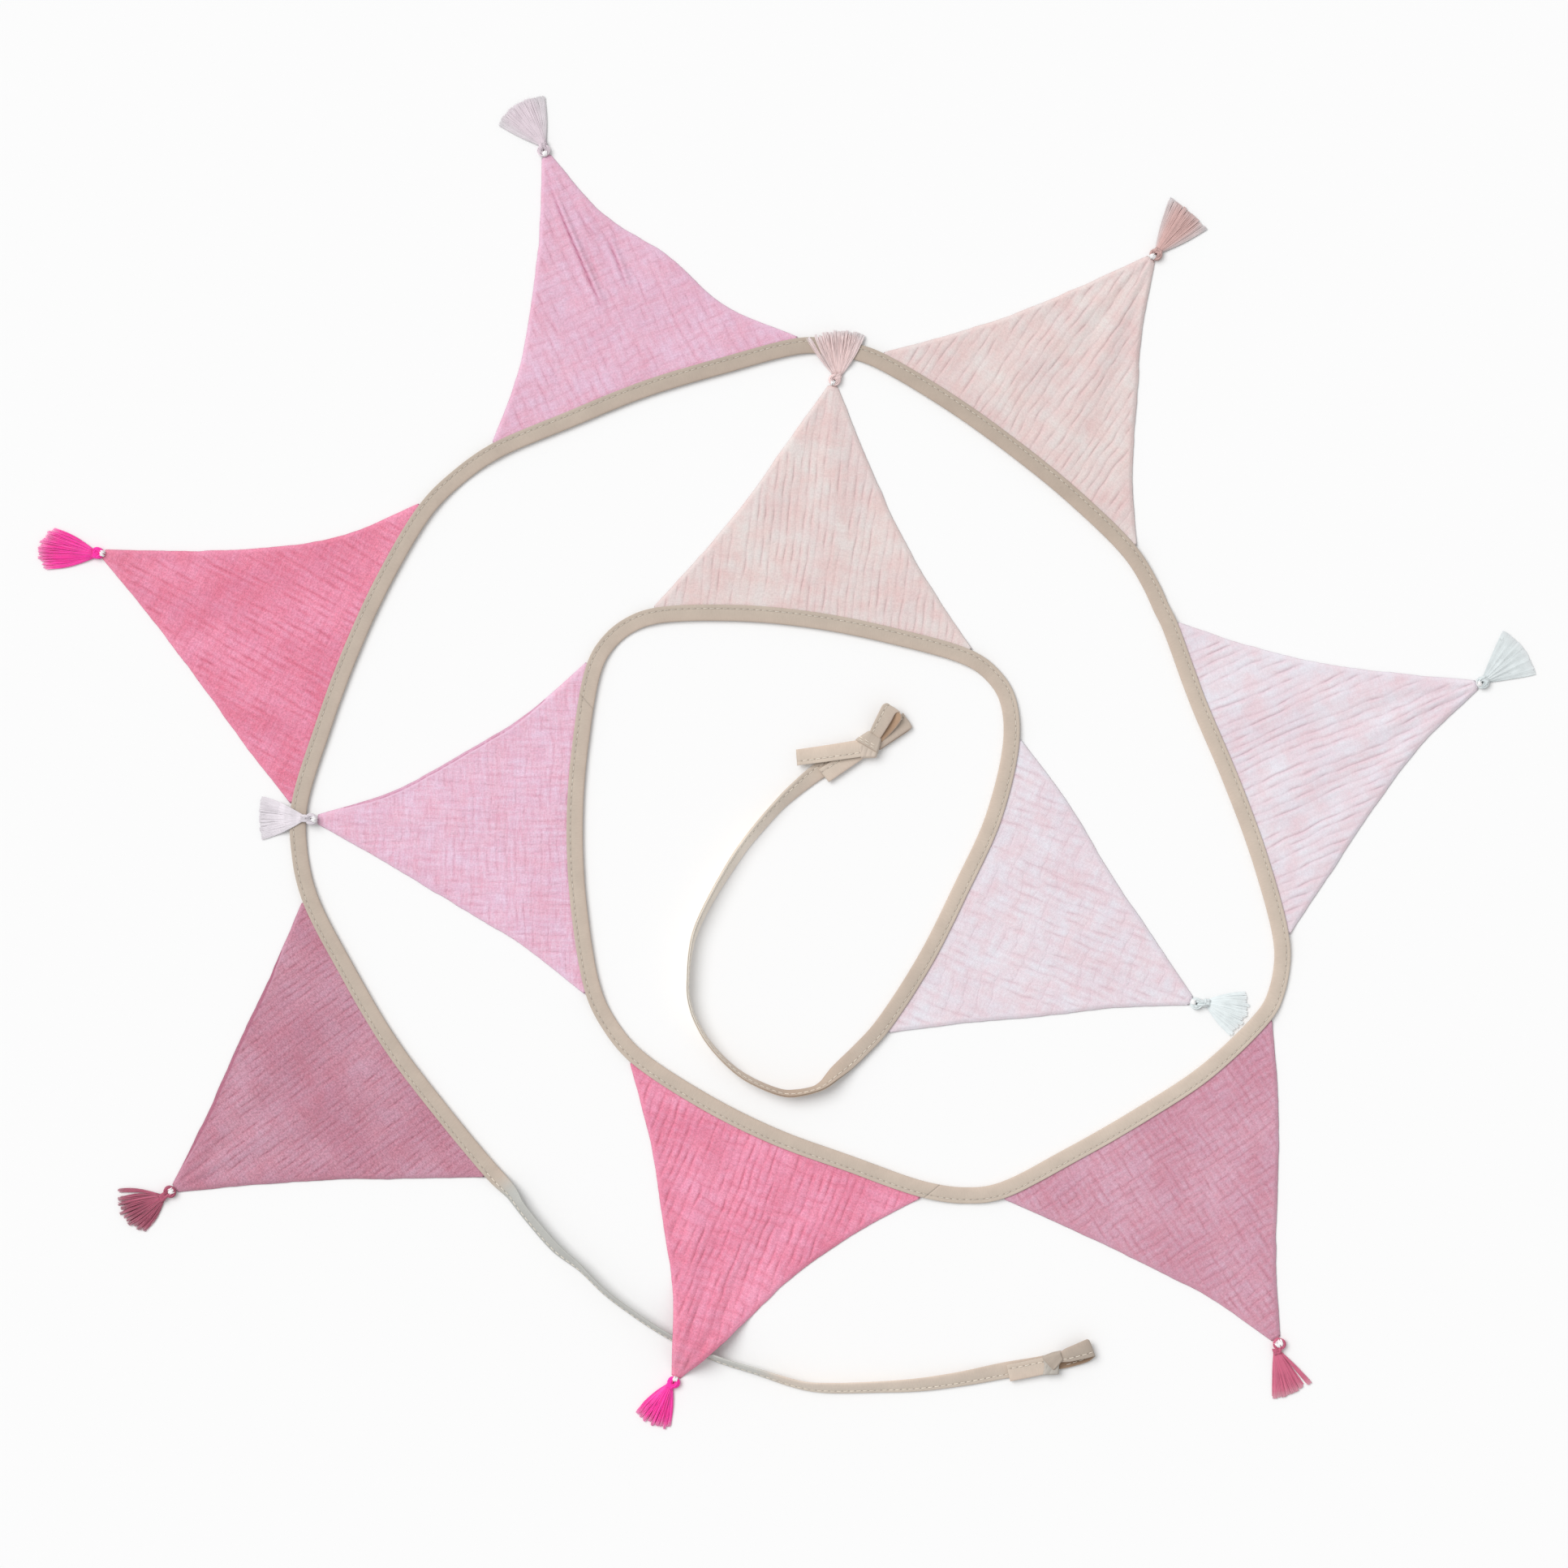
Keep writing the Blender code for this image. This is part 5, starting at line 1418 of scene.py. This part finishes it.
    def skirt_end(self, tassel, spread, stray):
        """Where on the skirt's edge a strand ends."""
        first, middle, last = (np.array(p) for p in (tassel.first, tassel.middle, tassel.last))
        end = (first * 2 * (spread - 0.5) * (spread - 1.0) + middle * 4 * spread * (1.0 - spread)
               + last * 2 * spread * (spread - 0.5))
        return end + self.across * self.look.stray * (0.75 if stray else -0.30)

    def add_under_strands(self, draft, tassel):
        """The bundle's underside, broad strands that close the gaps between the fine ones."""
        neck = np.array(tassel.neck)
        steps = np.linspace(0.0, 1.0, 7)
        for k in range(self.UNDER_STRANDS):
            place = (k + 0.5) / self.UNDER_STRANDS
            spread, stray = self.fanned(place)
            root = neck + self.across * (place - 0.5) * NECK_WIDTH * 0.8
            end = root + (self.skirt_end(tassel, spread, stray) - root) * (0.95 - self.look.ragged)
            off = (place - 0.5) * self.look.bulge * np.sin(math.pi * steps)
            path = self.drawn(root, end, steps, off)
            height = (self.base + 0.6) * (1 - steps) + 0.25 * steps
            if tassel.number in OVER_TAPE:
                height = np.where(steps > 0.1, self.clearing(path) + 0.3, height)
            width = 0.25 + 0.62 * steps * (1.0 - 0.35 * steps ** 4)
            self.tinted_strand(draft, flat_strand(np.column_stack((path, height)), width, 0.16),
                               0.97 * self.look.tone, self.paleness(place), rounded=False)

    def add_skirt(self, draft, tassel):
        """Fine strands from the neck to the skirt's edge, in a soft heap that thins outwards."""
        neck = np.array(tassel.neck)
        steps = np.linspace(0.0, 1.0, 8)
        loft = 0.05 + 0.95 * self.look.loft
        radius = self.settings.strand_width / MM / 2
        for k in range(self.settings.strands):
            place = (k + self.chance.random()) / self.settings.strands
            level = self.chance.random()
            even = 0.5 + 0.35 * math.sin(2 * math.pi * place * self.look.locks)
            level = even + (level - even) * smooth(0.0, 0.45, self.look.loft)
            spread, stray = self.fanned(place)
            end = self.skirt_end(tassel, spread + self.chance.gauss(0.0, 0.010) * self.look.loft ** 0.5, stray)
            root = neck + self.across * (place - 0.5) * NECK_WIDTH * 0.86 - self.along * 0.4
            lock = math.floor(place * self.look.locks)
            lock_short = self.look.ragged * (0.5 + 0.5 * math.sin(tassel.number + 2.4 * lock))
            end = root + (end - root) * (1.0 - lock_short - abs(self.chance.gauss(0.0, 0.012 + self.look.ragged / 2)))
            bow = (place - 0.5) * self.look.bulge + self.chance.gauss(0.0, 0.35) * loft
            ripple = self.chance.uniform(0.05, 0.30) * np.sin(steps * self.chance.uniform(4.0, 9.0) + k)
            ripple = ripple * smooth(-0.1, 0.45, self.look.loft)
            off = bow * np.sin(math.pi * steps) + ripple * steps
            path = self.drawn(root, end, steps, off)
            crown = 1.0 - (2 * place - 1) ** 2
            start = self.base + 0.5 + 1.7 * crown * (1 - loft) + level * (0.7 + 1.7 * crown) * loft
            finish = 0.34 + level * (0.5 + 0.7 * crown) * loft
            height = start * (1 - steps) + finish * steps + 0.4 * crown * level * np.sin(math.pi * steps)
            if tassel.number in OVER_TAPE:
                height = np.where(steps > 0.1, self.clearing(path) + finish + 0.1, height)
            shape = flat_strand(np.column_stack((path, height)), radius * (1.35 - 0.3 * self.look.loft - 0.35 * steps),
                                0.04 + 0.51 * self.look.loft)
            # Painted shade: the lower strands of the heap are darker.
            tone = (0.92 + 0.10 * level + self.chance.uniform(-0.05, 0.05)) * self.look.tone
            pale = self.paleness(place) + self.chance.uniform(-0.05, 0.05)
            self.tinted_strand(draft, shape, tone, np.maximum(pale + FRAYED * smooth(0.80, 1.0, steps), 0.0),
                               rounded=self.look.loft > 0.7)


class BUNTING_OT_tip_threads(bpy.types.Operator):
    """Sew the tassels to the flags' tips with white thread"""
    bl_idname = "bunting.tip_threads"
    bl_label = "Tip threads"

    SPACING = 0.58          # from one turn to the next
    THREAD = 0.37           # half the thread's thickness
    RING_STEPS = 16

    def execute(self, context):
        white = thread_finish("White thread", context.scene.bunting_tassels.white)
        angles = np.linspace(0.0, 2 * math.pi, self.RING_STEPS + 1)[:-1]
        for tassel, flag in zip(TASSELS, FLAGS):
            chance = random.Random(40 + tassel.number)
            look = SKIRTS[tassel.number]
            base = OVER_TAPE.get(tassel.number, 0.0)
            heading = flag_heading(flag)
            across = left_of(heading)
            middle = np.array(flag.tip) + heading * look.bead_out
            high = (base + 4.2) / 2
            draft = Draft()
            turns = round(look.bead_width / self.SPACING)
            for k in range(turns):
                side = (k - (turns - 1) / 2) * self.SPACING
                lean = chance.uniform(-0.6, 0.6)
                round_off = math.sqrt(1.0 - (1.5 * side / look.bead_width) ** 2)
                reach = (look.bead_width * 0.55 + chance.uniform(-0.15, 0.15)) * round_off
                path = (middle + heading * (reach * np.cos(angles))[:, None]
                        + across * (side + lean * np.cos(angles))[:, None])
                height = high + (high - 0.40) * round_off * np.sin(angles)
                corners, faces = tube(np.column_stack((path, height)), self.THREAD, THREAD_SIDES, closed=True)
                draft.add(corners, faces, shade=np.full(len(corners), chance.uniform(0.92, 1.04)))
            draft.finish(f"tip_thread_{tassel.number:02d}", [white], "white_thread", f"thread_{tassel.number:02d}")
        return {"FINISHED"}


def curve_through(rows, steps):
    """Rows of numbers made dense by a smooth curve through them."""
    rows = np.asarray(rows, dtype=float)
    ends = np.vstack((2 * rows[0] - rows[1], rows, 2 * rows[-1] - rows[-2]))
    dense = [cubic(*ends[i:i + 4], k / steps) for i in range(len(rows) - 1) for k in range(steps)]
    return np.array((*dense, rows[-1]))


class BowStrip:
    """One tail or loop of a bow, as the same folded strip."""

    STEPS = 9               # sections from one station to the next

    def __init__(self, strip, folded):
        rows = curve_through(strip.stations, self.STEPS)
        self.sewn = strip.sewn
        self.folded = folded
        self.path = rows[:, :3]
        heading, lean = np.radians(rows[:, 3]), np.radians(rows[:, 4])
        self.side = np.column_stack((np.cos(heading) * np.cos(lean), np.sin(heading) * np.cos(lean), np.sin(lean)))
        self.scale = rows[:, 5] / (2 * folded.half)
        self.thin = unit(np.cross(np.gradient(self.path, axis=0), self.side))
        steps = np.linalg.norm(np.diff(self.path, axis=0), axis=1)
        self.lengths = np.concatenate(((0.0,), np.cumsum(steps)))

    def place(self, n, b):
        """Places on the strip, for n and b at each row."""
        side, across = self.side * self.sewn, n * self.scale[:, None]
        return self.path[:, None] + side[:, None] * across[..., None] + self.thin[:, None] * b[..., None]

    def corners(self):
        """Its corners, their n, and how far each is on the lower face, the inside of a loop, which gets painted shade.
        """
        n, b = self.folded.section(self.lengths, np.zeros(len(self.lengths)))
        inner = b * self.thin[0, 2] < 0.0
        return self.place(n, b * 0.97), n, inner * (1 - smooth(0.90, 1.0, np.abs(n) / self.folded.half))

    def stitch_point(self, face):
        """A function of arc lengths and rises for the stitches on one face."""

        def read(table, lengths):
            return np.column_stack([np.interp(lengths, self.lengths, table[:, k]) for k in range(3)])

        def point(lengths, rise):
            scale = np.interp(lengths, self.lengths, self.scale)
            n = self.folded.stitch_n * scale * self.sewn
            b = face * (self.folded.tall(0.0) - STITCH_SINK + rise)
            return (read(self.path, lengths) + read(self.side, lengths) * n[:, None]
                    + read(self.thin, lengths) * b[:, None])

        return point


class BUNTING_OT_bows(bpy.types.Operator):
    """Tie the bow at each end of the binding"""
    bl_idname = "bunting.bows"
    bl_label = "Bows"

    def execute(self, context):
        settings = context.scene.bunting_binding
        folded = Folded(settings)
        cloth = binding_finish(settings)
        thread = thread_finish("Bow sewing thread", settings.stitch_colour)
        for number, (name, strip) in enumerate(STRIPS.items()):
            shape = BowStrip(strip, folded)
            corners, n, inner = shape.corners()
            lengths = shape.lengths[:, None] * np.ones_like(n)
            faces = capped_faces(*n.shape)
            if strip.sewn < 0:
                faces = [tuple(reversed(face)) for face in faces]
            draft = Draft()
            # The lower faces of the loops get painted shade.
            inner = inner if name.endswith("loop") else 0.0
            draft.add(corners.reshape(-1, 3), faces,
                      **strip_values(n, lengths, folded.half, 0.0, inner, strip.tone))
            piece = draft.finish(f"{name}_cloth", [cloth], "binding", name)
            sewing = Draft()
            for face in (-1, 1):
                add_stitches(sewing, shape.stitch_point(face), 0.0, shape.lengths[-1], settings, 20 + number,
                             TIE_STITCHES)
            stitches = sewing.finish(f"{name}_stitches", [thread], "binding")
        for name, knot in KNOTS.items():
            self.make_knot(name, knot, cloth, thread, settings)
        return {"FINISHED"}

    @staticmethod
    def make_knot(name, knot, cloth, thread, settings):
        """The wraps of the knot: a flat upper wrap whose edge lies over the pleated lower one."""
        sides = zip(knot.outline, knot.outline[1:] + knot.outline[:1])
        outline = np.vstack([np.linspace(a, b, 9)[:-1] for a, b in sides])
        outline = (np.roll(outline, 1, axis=0) + 2 * outline + np.roll(outline, -1, axis=0)) / 4
        loop = np.vstack((outline, outline[:1]))
        edge_line = np.array(knot.edge)
        start = edge_line[0]
        along, over = unit(edge_line[1] - start), left_of(edge_line[1] - start)

        def above(points):
            """How far the points are on the upper wrap, from its edge."""
            return np.min([(points - a) @ left_of(b - a) for a, b in zip(edge_line, edge_line[1:])], axis=0)

        def crown(points):
            rim = np.clip(off_line(points, loop)[0] / 1.5, 0.0, 1.0)
            return np.sqrt(1.0 - (1.0 - rim) ** 2.2)

        def top(points):
            off, run = above(points), (points - start) @ along
            lower = 1 - smooth(-0.30, 0.05, off)
            pleats = 0.40 * (np.abs(np.sin(run * 0.95 + 0.25 * off + 0.4)) ** 0.6 - 0.7) * smooth(0.3, 1.6, -off)
            dip = 0.30 * np.exp(-((off - 0.35) / 0.5) ** 2) + 0.12 * np.sin(off * 0.9 + 0.3 * run)
            full = knot.height - KNOT_WAIST - 1.0 * lower + (pleats * lower) + dip * (1 - lower)
            return KNOT_WAIST + (full - 0.10 * np.abs(run - 6.0)) * (0.25 + 0.75 * crown(points))

        def bottom(points):
            return KNOT_WAIST - (KNOT_WAIST - 0.05) * crown(points)

        def grain(points, on_top):
            return np.column_stack(((points - start) @ along, np.full(len(points), -2.0),
                                    np.zeros(len(points)))) * MM

        def edge(points, on_top):
            return np.clip(above(points) / 4.0, -1.0, 1.0)

        def grey(points, on_top):
            return knot.grey * (1 - smooth(-0.4, 0.1, above(points)))

        # Painted light and shade: the lower and the upper wrap each get a lightness of their own.
        def tone(points, on_top):
            lower, upper = knot.tones
            return lower + (upper - lower) * smooth(-0.4, 0.1, above(points))

        # Painted shade in a narrow band just under the upper wrap's edge.
        def wrap_edge_shade(points, on_top):
            return 0.30 * np.exp(-((above(points) + 0.25) / 0.35) ** 2)

        draft = Draft()
        sheet_between(draft, outline, top, bottom, (0.25, 0.7, 1.2), 0.36, 1.0,
                      lambda points: np.full(len(points), KNOT_WAIST), grain=grain, edge=edge, grey=grey,
                      inside=wrap_edge_shade, tone=tone)
        piece = draft.finish(f"{name}_cloth", [cloth], "binding", name)
        if knot.rows:
            sewing = Draft()
            for number, row in enumerate(knot.rows):
                def point(lengths, rise):
                    spots = start + along * lengths[:, None] + over * row
                    return np.column_stack((spots, top(spots) + rise + 0.05))

                add_stitches(sewing, point, 0.3 - 0.5 * row, math.dist(*knot.edge) + 0.4, settings, 60 + number,
                             TIE_STITCHES)
            sewing.finish(f"{name}_stitches", [thread], "binding")


class BUNTING_OT_stage(bpy.types.Operator):
    """Set up the floor, the soft lights and the camera above the bunting"""
    bl_idname = "bunting.stage"
    bl_label = "Stage"

    FLOOR_SIDE = 24.0
    FLOOR_DROP = 0.0004     # below the surface that the bunting lies on
    FRAME_MIDDLE = (-0.0015, -0.01325)
    SUN_HEADING = (0.50, -0.36, -0.79)
    SUN_SPREAD = 42.0       # in degrees

    def execute(self, context):
        settings = context.scene.bunting_stage
        scene = context.scene
        half = self.FLOOR_SIDE / 2
        mesh = bpy.data.meshes.new("floor")
        mesh.from_pydata([(x, y, -self.FLOOR_DROP) for x, y in ((-half, -half), (half, -half), (half, half),
                                                                (-half, half))], [], [(0, 1, 2, 3)])
        mesh.materials.append(floor_finish(settings.floor_colour))
        floor = bpy.data.objects.new("floor", mesh)
        scene.collection.objects.link(floor)
        self.add_sun("Soft key", settings.key_strength)
        world = bpy.data.worlds.new("Studio")
        world.use_nodes = True
        world.node_tree.nodes["Background"].inputs["Color"].default_value = (1.0, 1.0, 1.0, 1.0)
        world.node_tree.nodes["Background"].inputs["Strength"].default_value = settings.fill_strength
        scene.world = world
        scene.view_settings.view_transform = "Standard"
        lens = bpy.data.cameras.new("Camera")
        lens.lens = settings.lens
        lens.sensor_width = 36.0
        camera = bpy.data.objects.new("Camera", lens)
        camera.location = (*self.FRAME_MIDDLE, settings.camera_height)
        scene.collection.objects.link(camera)
        scene.camera = camera
        return {"FINISHED"}

    def add_sun(self, name, strength):
        """A broad soft light from above, the left and a little behind."""
        light = bpy.data.lights.new(name, "SUN")
        light.energy = strength
        light.angle = math.radians(self.SUN_SPREAD)
        lamp = bpy.data.objects.new(name, light)
        lamp.rotation_euler = Vector(self.SUN_HEADING).to_track_quat("-Z", "Y").to_euler()
        bpy.context.scene.collection.objects.link(lamp)


class BUNTING_PT_sidebar(bpy.types.Panel):
    """The bunting's settings and steps"""
    bl_label = "Fabric bunting"
    bl_idname = "BUNTING_PT_sidebar"
    bl_space_type = "VIEW_3D"
    bl_region_type = "UI"
    bl_category = "Bunting"

    def draw(self, context):
        for operator in OPERATORS:
            self.layout.operator(operator.bl_idname)
        for key, group in SETTINGS.items():
            box = self.layout.box()
            for name in group.__annotations__:
                box.prop(getattr(context.scene, key), name)


OPERATORS = (BUNTING_OT_stage, BUNTING_OT_binding, BUNTING_OT_flags, BUNTING_OT_tassels, BUNTING_OT_tip_threads,
             BUNTING_OT_bows)


def register():
    for group in (*SETTINGS.values(), *OPERATORS, BUNTING_PT_sidebar):
        bpy.utils.register_class(group)
    for key, group in SETTINGS.items():
        setattr(bpy.types.Scene, key, bpy.props.PointerProperty(type=group))


def unregister():
    for key in SETTINGS:
        delattr(bpy.types.Scene, key)
    for group in reversed((*SETTINGS.values(), *OPERATORS, BUNTING_PT_sidebar)):
        bpy.utils.unregister_class(group)


def main():
    register()
    for operator in OPERATORS:
        step = operator.bl_idname.split(".")[1]
        getattr(bpy.ops.bunting, step)()


if __name__ == "__main__":
    main()
